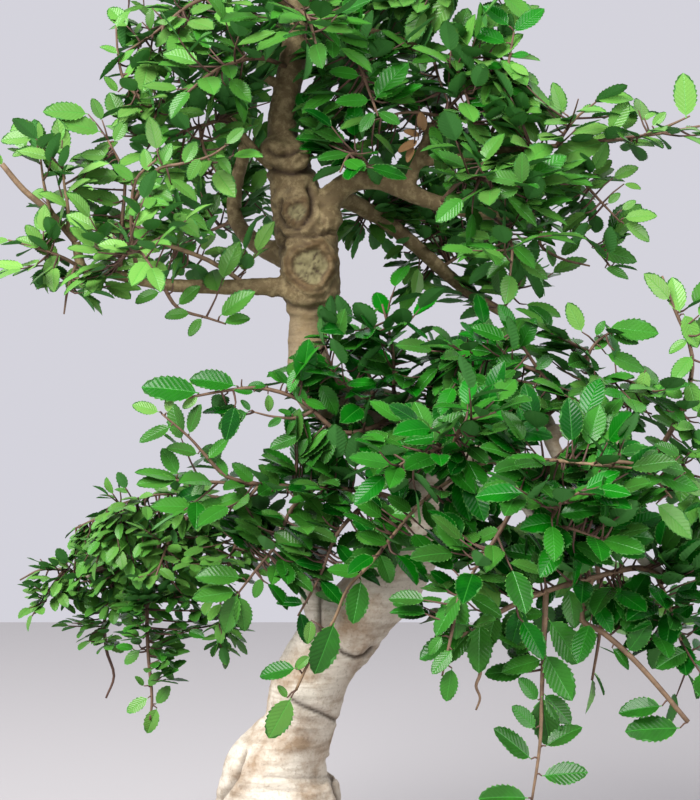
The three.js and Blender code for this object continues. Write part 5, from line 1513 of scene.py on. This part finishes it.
class Foliage:
    """Collects the stems and leaves of one spray."""

    def __init__(self, patterns, sizes, share, dark, wood):
        self.bm = bmesh.new()
        self.bm.loops.layers.uv.new("blade")
        self.bm.loops.layers.float_color.new("marks")
        self.patterns = patterns
        self.leaf_length = sizes.leaf_length / MM * share
        self.leaf_gap = sizes.leaf_gap / MM * share
        self.dark = dark
        self.room, self.radii = wood
        self.spine = []

    def stem(self, centres, radii, sides, age):
        tube = grow_tube(centres, radii, sides)
        marks = tube.loops.layers.float_color.new("marks")
        for face in tube.faces:
            for loop in face.loops:
                loop[marks] = (age, 0, 0, 1)
        take_in(self.bm, tube, 1)

    def shoot(self, points, age, stout):
        """A main stem, whose points other growth starts from."""
        route = Route(points)
        thick = stout or min(SHOOT_RADII[1], SHOOT_RADII[0] + route.length / SHOOT_GAIN)
        steps = (len(points) - 1) * STATION_STEPS
        shares = [i / steps for i in range(steps + 1)]
        taper = STOUT_TAPER if stout else SHOOT_TAPER
        radii = [thick * (1 - taper * share) for share in shares]
        self.stem([route.at(share) for share in shares], radii, SHOOT_SIDES, age)
        for i in range(SHOOT_PARTS // 10, SHOOT_PARTS + 1):
            spot = route.point_along(i / SHOOT_PARTS)
            self.spine.append((spot, as_seen(spot)))
        return route

    def twig(self, start, end, seed, youth_and_light, bare):
        """A thin side twig with its leaves, which sags a little. None grows whose last leaf has no room."""
        if in_opening(end + (end - start).normalized() * self.leaf_length * 0.5):
            return
        roll = dice(seed + 5)
        middle = (start + end) / 2 + Vector((roll() - 0.5, roll() - 0.5, -roll())) * TWIG_SAG
        route = Route([start, middle, end])
        shares = [i / STATION_STEPS for i in range(STATION_STEPS + 1)]
        radii = [TWIG_RADIUS[0] - TWIG_RADIUS[1] * share for share in shares]
        self.stem([route.at(share) for share in shares], radii, TWIG_SIDES, TWIG_AGE)
        self.leaves_along(route, max(bare, route.length - TWIG_LEAFY), seed, youth_and_light)
        self.tip_leaf(end, route.heading(1), seed, youth_and_light)

    def leaf(self, turned, seed, youth_and_light):
        if not within_reach([turned @ Vector(corner) for corner in BLADE_REACH]):
            return
        _, index, away = self.room.find(turned @ BLADE_MIDDLE)
        if away < self.radii[index] + LEAF_ROOM:
            return
        roll = dice(seed + 77)
        pattern, sides = self.patterns[int(roll() * len(self.patterns)) % len(self.patterns)]
        # painted shade: each leaf takes a share of the deep green at random, no less than its spray's
        shade = self.dark + (1 - self.dark) * roll()
        tone = clamped(youth_and_light + (roll() - 0.5) * YOUTH_RANGE)
        alive = 0.0 if youth_and_light < 0 else 1.0
        blade = pattern.copy()
        blade.transform(turned)
        marks = [value for under in sides for value in (tone, under, shade, alive)]
        blade.attributes["marks"].data.foreach_set("color", marks)
        self.bm.from_mesh(blade)
        bpy.data.meshes.remove(blade)

    def leaves_along(self, route, start, seed, youth_and_light):
        count = int((route.length - start) / self.leaf_gap)
        for i in range(count):
            roll = dice(seed * 64 + i)
            share = (start + (i + 0.5) * self.leaf_gap) / route.length
            size = self.leaf_length * (LEAF_SIZES[0] + LEAF_SIZES[1] * roll())
            spread = LEAF_SPREAD[0] + LEAF_SPREAD[1] * roll()
            hand = 1 if i % 2 == 0 else -1
            foot, heading = route.point_along(share), route.heading_along(share)
            turned = leaf_frame(foot, heading, hand, spread, size, roll)
            if not in_opening(turned @ BLADE_HEART):
                self.leaf(turned, seed * 64 + i, youth_and_light * (1 + YOUTH_RANGE * share))

    def tip_leaf(self, point, heading, seed, youth_and_light):
        roll = dice(seed)
        size = self.leaf_length * (TIP_SIZES[0] + TIP_SIZES[1] * roll())
        turned = leaf_frame(point - heading, heading, 1, TIP_SPREAD * roll(), size, roll)
        if not in_opening(turned @ BLADE_HEART):
            self.leaf(turned, seed, youth_and_light)

    def measured_leaf(self, row, seed, youth_and_light):
        """A leaf by where its foot and tip appear, at the depth of the stem that it grows on."""
        foot_x, foot_z, tip_x, tip_z = row[:4]
        stem_point, _ = min(self.spine, key=lambda spot: math.hypot(spot[1][0] - foot_x, spot[1][1] - foot_z))
        roll = dice(seed)
        foot = place([foot_x, stem_point.y - 1, foot_z])
        length = math.hypot(tip_x - foot_x, tip_z - foot_z)
        slant = (roll() - LEAF_SLANT[0]) * LEAF_SLANT[1] * length
        tip = place([tip_x, stem_point.y - 1 - slant, tip_z])
        if (foot - stem_point).length > STALK_LEAST:
            bend = (foot + stem_point) / 2 + UP * STALK_ARCH
            self.stem([stem_point, bend, foot], STALK_RADII, TWIG_SIDES, STALK_AGE)
        sideways, forwards, least_rise, rise = LEAF_FACING
        facing = Vector(((roll() - 0.5) * sideways, forwards, least_rise + rise * roll()))
        turned = turned_leaf(foot, (tip - foot).normalized(), facing, (tip - foot).length)
        self.leaf(turned, seed, row[4] if len(row) > 4 else youth_and_light)

    def thicket(self, x, y, z, wide, deep, tall, count, seed, youth_and_light):
        """Short leafy twigs that fill a rounded room, each from the nearest of the spray's stems."""
        for i in range(count):
            roll = dice(seed + i)
            away = Vector((roll() * 2 - 1, roll() * 2 - 1, roll() * 2 - 1))
            if away.length > 1:
                away.normalize()
            end = place([x + wide * away.x, y + deep * away.y, z + tall * away.z])
            start, _ = min(self.spine, key=lambda spot: (spot[0] - end).length_squared)
            if (end - start).length < TWIG_LEAST:
                end = start + (end - start).normalized() * TWIG_LEAST
            if within_reach([end]) and not in_opening(end):
                self.twig(start, end, seed + i, youth_and_light, TWIG_BARE["thicket"])


def side_twigs(route, seed, gap):
    """Where the side twigs of a shoot start and end, and their seeds."""
    count = max(2, math.floor(route.length / gap + 0.5))
    twigs = []
    for i in range(count):
        roll = dice(seed * 32 + i)
        share = TWIG_SPAN[0] + TWIG_SPAN[1] * ((i + 0.5) / count)
        start, tangent = route.point_along(share), route.heading_along(share)
        level = tangent.cross(UP)
        if level.length_squared < STEEP:
            level = Vector((1, 0, 0))
        level.normalize()
        rise = level.cross(tangent).normalized()
        turn = (roll() - 0.5) * TWIG_TURN + (TWIG_RAISED if i % 3 == 2 else 0)
        hand = 1 if i % 2 == 0 else -1
        away = level * (hand * math.cos(turn)) + rise * math.sin(turn)
        spread = TWIG_OPEN[0] + TWIG_OPEN[1] * roll()
        heading = (tangent * math.cos(spread) + away * math.sin(spread) + UP * TWIG_LIFT).normalized()
        length = (TWIG_LENGTH[0] + TWIG_LENGTH[1] * roll()) * (TWIG_SHORTER[0] - TWIG_SHORTER[1] * share)
        twigs.append((start, start + heading * length, seed * 32 + i + 7))
    return twigs


class ZELKOVA_OT_foliage(bpy.types.Operator):
    """Grow the leafy twigs on the limbs"""

    bl_idname = "zelkova.foliage"
    bl_label = "Foliage"

    def execute(self, context):
        sizes, colours = context.scene.zelkova_sizes, context.scene.zelkova_colours
        blade, bark = leaf_blade(colours), twig_bark(colours)
        patterns = {}
        for teeth in (NEAR_TEETH, FAR_TEETH):
            patterns[teeth] = []
            for bends in BLADE_BENDS:
                mesh = leaf_pattern(teeth, *bends)
                patterns[teeth].append((mesh, [mark.color[1] for mark in mesh.attributes["marks"].data]))
        wood = wood_room()
        # the factors of the seeds keep the draws of sprays, shoots, leaves and rooms apart
        for number, (name, routes) in enumerate(SPRAYS.items(), 1):
            far = name in SMALL_LEAVED or name.endswith("back")
            share = SMALL_LEAVED.get(name) or LESSER_LEAVED.get(name, 1)
            # the least painted shade on this spray's leaves
            dark = SHADED_SPRAYS.get(name, 0)
            spray = Foliage(patterns[FAR_TEETH if far else NEAR_TEETH], sizes, share, dark, wood)
            # how new the leaves are, with painted light on the left sprays and in the crown
            youth_and_light = YOUNG_AND_LIT.get(name, YOUTH)
            age = AGED.get(name, STEM_AGE)
            for index, row in enumerate(routes + MORE_SHOOTS.get(name, [])):
                stout = STOUT_SHOOTS.get(name, {}).get(index)
                route = spray.shoot([place(point) for point in row], age, stout)
                seed = number * 40 + index * 13
                if index in BARE_SHOOTS.get(name, ()) or index >= len(routes):
                    continue
                spray.leaves_along(route, route.length * BARE_FOOT, seed, youth_and_light)
                spray.tip_leaf(route.at(1), route.heading(1), seed, youth_and_light)
                for start, end, twig_seed in side_twigs(route, seed, sizes.twig_gap / MM):
                    if within_reach([end]) and not in_opening(end) and not in_opening(start.lerp(end, 0.6)):
                        spray.twig(start, end, twig_seed, youth_and_light, TWIG_BARE["side"])
            for index, row in enumerate(MEASURED_LEAVES.get(name, [])):
                spray.measured_leaf(row, number * 911 + index * 17, youth_and_light)
            for index, room in enumerate(THICKETS.get(name, [])):
                spray.thicket(*room, number * 7001 + index * 211, youth_and_light)
            finish_piece(spray.bm, f"leaves_{name}", [blade, bark], [f"spray_{name}"])
        for rows in patterns.values():
            for mesh, _ in rows:
                bpy.data.meshes.remove(mesh)
        return {"FINISHED"}


# The pot and what lies in it

POT_HEIGHT = 65
POT_FOOT = 8
POT_HALF_LENGTH = 138
POT_HALF_WIDTH = 88
POT_WALL = 8
POT_FLOOR = 8
POT_CORNER = 26
POT_SPLAY = 16
LIP_HEIGHT = 12
LIP_PROUD = 5
DRAIN_RADIUS = 11
DRAIN_SIDES = 48
DRAIN_OFFSET = 60
FOOT_SIZE = (36, 24)
FOOT_INSET = (8, 6)
SOIL_EDGE = 56
SOIL_MOUND = 61
LIP_ROUNDING = 2.4
CORNER_STEPS = 12
FOOT_EASE = 5  # radius and steps of the feet's corners
SHARP = 0.7  # edges that turn by more than this, in radians, stay sharp
GRAIN_PITCH = 0.82  # of a grain's width
GRAIN_SIZES = (0.7, 0.6)
GRAIN_SINK = 0.1
GRAINS_INSET = 13  # from the outside of the lip
GRAINS_CORNER = 14
TRUNK_CLEAR = 27  # round the middle of the trunk's foot, where no grain lies
MOUND_SPAN = (0.1, 0.85)  # of the way from the middle to the rim: where the mound falls away


def rounded_ring(bm, half_length, half_width, radius, height):
    """The edges of a level rectangle with rounded corners."""
    made = bmesh.ops.create_grid(bm, x_segments=1, y_segments=1, size=1)["verts"]
    bmesh.ops.scale(bm, vec=(half_length, half_width, 1), verts=made)
    bmesh.ops.translate(bm, vec=(0, 0, height), verts=made)
    bevelled = bmesh.ops.bevel(
        bm, geom=made, offset=radius, offset_type="OFFSET", segments=CORNER_STEPS, profile=0.5,
        affect="VERTICES", material=-1,
    )
    face = next(iter(bevelled["verts"][0].link_faces))
    edges = list(face.edges)
    bmesh.ops.delete(bm, geom=[face], context="FACES_ONLY")
    return edges


def cavity_inset(height):
    """How far the hollow's wall stands in from the outside of the lip."""
    return POT_WALL + POT_SPLAY * (POT_HEIGHT - height) / (POT_HEIGHT - POT_FOOT)


def thrown_pot():
    """The pot's body: leaning walls under a heavy rounded lip, with the hollow for the soil."""
    body, broad = POT_HALF_LENGTH - LIP_PROUD, POT_HALF_WIDTH - LIP_PROUD
    lip_foot = POT_HEIGHT - LIP_HEIGHT
    rim = POT_HEIGHT - LIP_ROUNDING
    floor_top = POT_FOOT + POT_FLOOR
    # each wall, upwards on the outside and downwards in the hollow: height, and how far in it stands
    wall = [
        (POT_FOOT, POT_SPLAY + 1.5), (POT_FOOT + 0.8, POT_SPLAY), (POT_FOOT + 3, POT_SPLAY - 1.2),
        (POT_FOOT + 24, POT_SPLAY * 0.52), (lip_foot - 2, 0.6), (lip_foot - 0.8, 0.2),
    ]
    outer = [(z, body - inset, broad - inset) for z, inset in wall]
    lip = [(lip_foot, 1.4), (lip_foot + 1.2, 0.3), (lip_foot + 2.4, 0), (rim, 0)]
    lip += [(rim + LIP_ROUNDING * math.sin(a), LIP_ROUNDING * (1 - math.cos(a))) for a in (0.5, 1.0, 1.35)]
    lip.append((POT_HEIGHT, LIP_ROUNDING + 0.8))
    outer += [(z, POT_HALF_LENGTH - inset, POT_HALF_WIDTH - inset) for z, inset in lip]
    hollow = [
        (POT_HEIGHT, cavity_inset(POT_HEIGHT) - 1.2), (POT_HEIGHT - 1.2, cavity_inset(POT_HEIGHT - 1.2)),
        (floor_top + 2, cavity_inset(floor_top + 2)), (floor_top, cavity_inset(floor_top) + 1.5),
    ]
    inner = [(z, POT_HALF_LENGTH - inset, POT_HALF_WIDTH - inset) for z, inset in hollow]
    bm = bmesh.new()
    rings = [rounded_ring(bm, x, y, POT_CORNER, z) for z, x, y in outer]
    rings += [rounded_ring(bm, x, y, POT_CORNER - POT_WALL, z) for z, x, y in inner]
    for low, high in zip(rings, rings[1:]):
        bmesh.ops.bridge_loops(bm, edges=[*low, *high])
    bmesh.ops.contextual_create(bm, geom=rings[0])
    bmesh.ops.contextual_create(bm, geom=rings[-1])
    bmesh.ops.recalc_face_normals(bm, faces=bm.faces)
    return bm


def pot_feet():
    """Four low feet under the floor's corners, with eased edges."""
    bm = bmesh.new()
    for right in (1, -1):
        for back in (1, -1):
            x = right * (POT_HALF_LENGTH - LIP_PROUD - POT_SPLAY - FOOT_SIZE[0] / 2 - FOOT_INSET[0])
            y = back * (POT_HALF_WIDTH - LIP_PROUD - POT_SPLAY - FOOT_SIZE[1] / 2 - FOOT_INSET[1])
            foot = bmesh.ops.create_cube(bm, size=1)["verts"]
            bmesh.ops.scale(bm, vec=(*FOOT_SIZE, POT_FOOT + 2), verts=foot)
            bmesh.ops.translate(bm, vec=(x, y, (POT_FOOT + 2) / 2), verts=foot)
    uprights = [edge for edge in bm.edges if abs(edge.verts[0].co.z - edge.verts[1].co.z) > 1]
    bmesh.ops.bevel(
        bm, geom=uprights, offset=FOOT_EASE, offset_type="OFFSET", segments=FOOT_EASE, profile=0.5,
        affect="EDGES", material=-1,
    )
    return bm


def drain_holes():
    """Two rods through the floor, where the drainage holes are."""
    bm = bmesh.new()
    for hand in (1, -1):
        place_hole = Matrix.Translation((hand * DRAIN_OFFSET, 0, POT_FOOT + POT_FLOOR / 2))
        bmesh.ops.create_cone(
            bm, cap_ends=True, segments=DRAIN_SIDES, radius1=DRAIN_RADIUS, radius2=DRAIN_RADIUS,
            depth=POT_FLOOR * 2.5, matrix=place_hole,
        )
    return bm


def cover(node, material):
    """Gives a frame node its material."""
    node.data.materials.clear()
    node.data.materials.append(material)


class ZELKOVA_OT_pot(bpy.types.Operator):
    """Throw the pot, stand it on its feet, bore its drainage holes and give the drainage meshes their
    material
    """

    bl_idname = "zelkova.pot"
    bl_label = "Pot"

    def execute(self, context):
        clay = fired_clay(context.scene.zelkova_colours)
        piece = finish_piece(thrown_pot(), "pot_fired", [clay], ["pot"])
        tools = [as_object(pot_feet(), "feet"), as_object(drain_holes(), "holes")]
        for tool, operation in zip(tools, ("UNION", "DIFFERENCE")):
            step = piece.modifiers.new(tool.name, "BOOLEAN")
            step.operation = operation
            step.solver = "EXACT"
            step.object = tool
        made = applied(piece)
        bm = bmesh.new()
        bm.from_mesh(made)
        bmesh.ops.remove_doubles(bm, verts=bm.verts, dist=1e-6)
        for face in bm.faces:
            face.smooth = True
        for edge in bm.edges:
            edge.smooth = len(edge.link_faces) == 2 and edge.calc_face_angle(0) < SHARP
        bm.to_mesh(piece.data)
        bm.free()
        bpy.data.meshes.remove(made)
        for tool in tools:
            mesh = tool.data
            bpy.data.objects.remove(tool)
            bpy.data.meshes.remove(mesh)
        net = moulded_net()
        for name in ("drain_mesh_left", "drain_mesh_right"):
            cover(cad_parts[name], net)
        return {"FINISHED"}


class ZELKOVA_OT_soil(bpy.types.Operator):
    """Lay grains over the soil"""

    bl_idname = "zelkova.soil"
    bl_label = "Soil"

    def execute(self, context):
        earth = baked_grains()
        cover(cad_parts["soil"], earth)
        grain = context.scene.zelkova_sizes.grain_size / MM
        roll = dice(4242)
        bm = bmesh.new()
        pattern = bmesh.new()
        bmesh.ops.create_icosphere(pattern, subdivisions=1, radius=0.5)
        mesh = as_mesh(pattern, "grain_pattern")
        reach_x, reach_y = POT_HALF_LENGTH - GRAINS_INSET, POT_HALF_WIDTH - GRAINS_INSET
        pitch = grain * GRAIN_PITCH
        columns, rows = int(2 * reach_x / pitch), int(2 * reach_y / pitch)
        foot_x, foot_y = TRUNK[2][:2]
        for spot in range(columns * rows):
            x = -reach_x + (spot // rows + roll()) * pitch
            y = -reach_y + (spot % rows + roll()) * pitch
            size = grain * (GRAIN_SIZES[0] + GRAIN_SIZES[1] * roll())
            corner_x, corner_y = abs(x) - (reach_x - GRAINS_CORNER), abs(y) - (reach_y - GRAINS_CORNER)
            if corner_x > 0 and corner_y > 0 and math.hypot(corner_x, corner_y) > GRAINS_CORNER:
                continue
            if math.hypot(x - foot_x, y - foot_y) < TRUNK_CLEAR:
                continue
            share = max(abs(x) / POT_HALF_LENGTH, abs(y) / POT_HALF_WIDTH)
            falling = (share - MOUND_SPAN[0]) / MOUND_SPAN[1]
            height = between([SOIL_MOUND, SOIL_MOUND, SOIL_EDGE + 2, SOIL_EDGE], falling)
            before = len(bm.verts)
            bm.from_mesh(mesh)
            bm.verts.ensure_lookup_table()
            angle = roll() * 6
            axis = Vector((roll() - 0.5, roll() - 0.5, roll() - 0.5)).normalized()
            shape = Matrix.Diagonal((size, size * (0.7 + 0.3 * roll()), size * (0.6 + 0.3 * roll()), 1))
            lying = Matrix.Translation((x, y, height - size * GRAIN_SINK))
            place_grain = lying @ Matrix.Rotation(angle, 4, axis) @ shape
            for vert in bm.verts[before:]:
                vert.co = place_grain @ vert.co
        bpy.data.meshes.remove(mesh)
        finish_piece(bm, "soil_grains", [earth])
        return {"FINISHED"}


# Camera, floor and lights

LIGHTS_AIM = Vector((0, 0, 0.3))
KEY_LIGHT = ((-0.9, -1.1, 1.5), 1.3)  # place and width, in metres
FILL_LIGHT = ((1.3, -0.8, 0.7), 1.2)
SKY_POWER = 0.94


def soft_light(name, position, size, power):
    """Hangs a round soft light that shines on the tree."""
    data = bpy.data.lights.new(name, "AREA")
    data.shape = "DISK"
    data.size = size
    data.energy = power
    lamp = bpy.data.objects.new(name, data)
    lamp.location = position
    lamp.rotation_mode = "QUATERNION"
    lamp.rotation_quaternion = (LIGHTS_AIM - Vector(position)).to_track_quat("-Z", "Y")
    bpy.context.scene.collection.objects.link(lamp)


class ZELKOVA_OT_camera(bpy.types.Operator):
    """Set up the camera in front of the tree"""

    bl_idname = "zelkova.camera"
    bl_label = "Camera"

    def execute(self, context):
        data = bpy.data.cameras.new("front")
        data.sensor_width = 36
        data.lens = context.scene.zelkova_stage.lens
        camera = bpy.data.objects.new("front", data)
        camera.location = TO_ROW @ Vector((VIEW_X, -VIEW_DISTANCE, VIEW_Z))
        camera.rotation_euler = (math.pi / 2, 0, 0)
        context.scene.collection.objects.link(camera)
        context.scene.camera = camera
        return {"FINISHED"}


class ZELKOVA_OT_stage(bpy.types.Operator):
    """Lay the plain floor and hang the soft lights"""

    bl_idname = "zelkova.stage"
    bl_label = "Stage"

    def execute(self, context):
        settings = context.scene.zelkova_stage
        bm = bmesh.new()
        bmesh.ops.create_grid(bm, x_segments=1, y_segments=1, size=settings.floor_size / 2)
        floor = as_object(bm, "floor", Matrix())
        material, _, shader = new_material("plain_floor", 0.8)
        shader.inputs["Base Color"].default_value = rgba("#a9a6a6")
        floor.data.materials.append(material)
        world = bpy.data.worlds.new("studio")
        world.use_nodes = True
        sky = world.node_tree.nodes["Background"]
        sky.inputs["Color"].default_value = rgba("#dad9e2")
        sky.inputs["Strength"].default_value = SKY_POWER
        context.scene.world = world
        soft_light("key", *KEY_LIGHT, settings.key_power)
        soft_light("fill", *FILL_LIGHT, settings.fill_power)
        context.scene.view_settings.view_transform = "Standard"
        return {"FINISHED"}


class ZELKOVA_PT_panel(bpy.types.Panel):
    """Builds the bonsai piece by piece"""

    bl_idname = "ZELKOVA_PT_panel"
    bl_label = "Zelkova bonsai"
    bl_space_type = "VIEW_3D"
    bl_region_type = "UI"
    bl_category = "Bonsai"

    def draw(self, context):
        layout = self.layout
        for group in ("zelkova_sizes", "zelkova_colours", "zelkova_stage"):
            settings = getattr(context.scene, group)
            for name in settings.__annotations__:
                layout.prop(settings, name)
        for operator in OPERATORS:
            layout.operator(operator.bl_idname)


GROUPS = {"zelkova_sizes": ZelkovaSizes, "zelkova_colours": ZelkovaColours, "zelkova_stage": ZelkovaStage}
OPERATORS = (
    ZELKOVA_OT_camera, ZELKOVA_OT_wood, ZELKOVA_OT_foliage, ZELKOVA_OT_pot, ZELKOVA_OT_soil, ZELKOVA_OT_stage,
)


def register():
    for group in (*GROUPS.values(), *OPERATORS, ZELKOVA_PT_panel):
        bpy.utils.register_class(group)
    for name, group in GROUPS.items():
        setattr(bpy.types.Scene, name, bpy.props.PointerProperty(type=group))


def unregister():
    for name in GROUPS:
        delattr(bpy.types.Scene, name)
    for group in (ZELKOVA_PT_panel, *reversed(OPERATORS), *reversed(list(GROUPS.values()))):
        bpy.utils.unregister_class(group)


def main():
    register()
    bpy.ops.zelkova.camera()
    bpy.ops.zelkova.wood()
    bpy.ops.zelkova.foliage()
    bpy.ops.zelkova.pot()
    bpy.ops.zelkova.soil()
    bpy.ops.zelkova.stage()


if __name__ == "__main__":
    main()
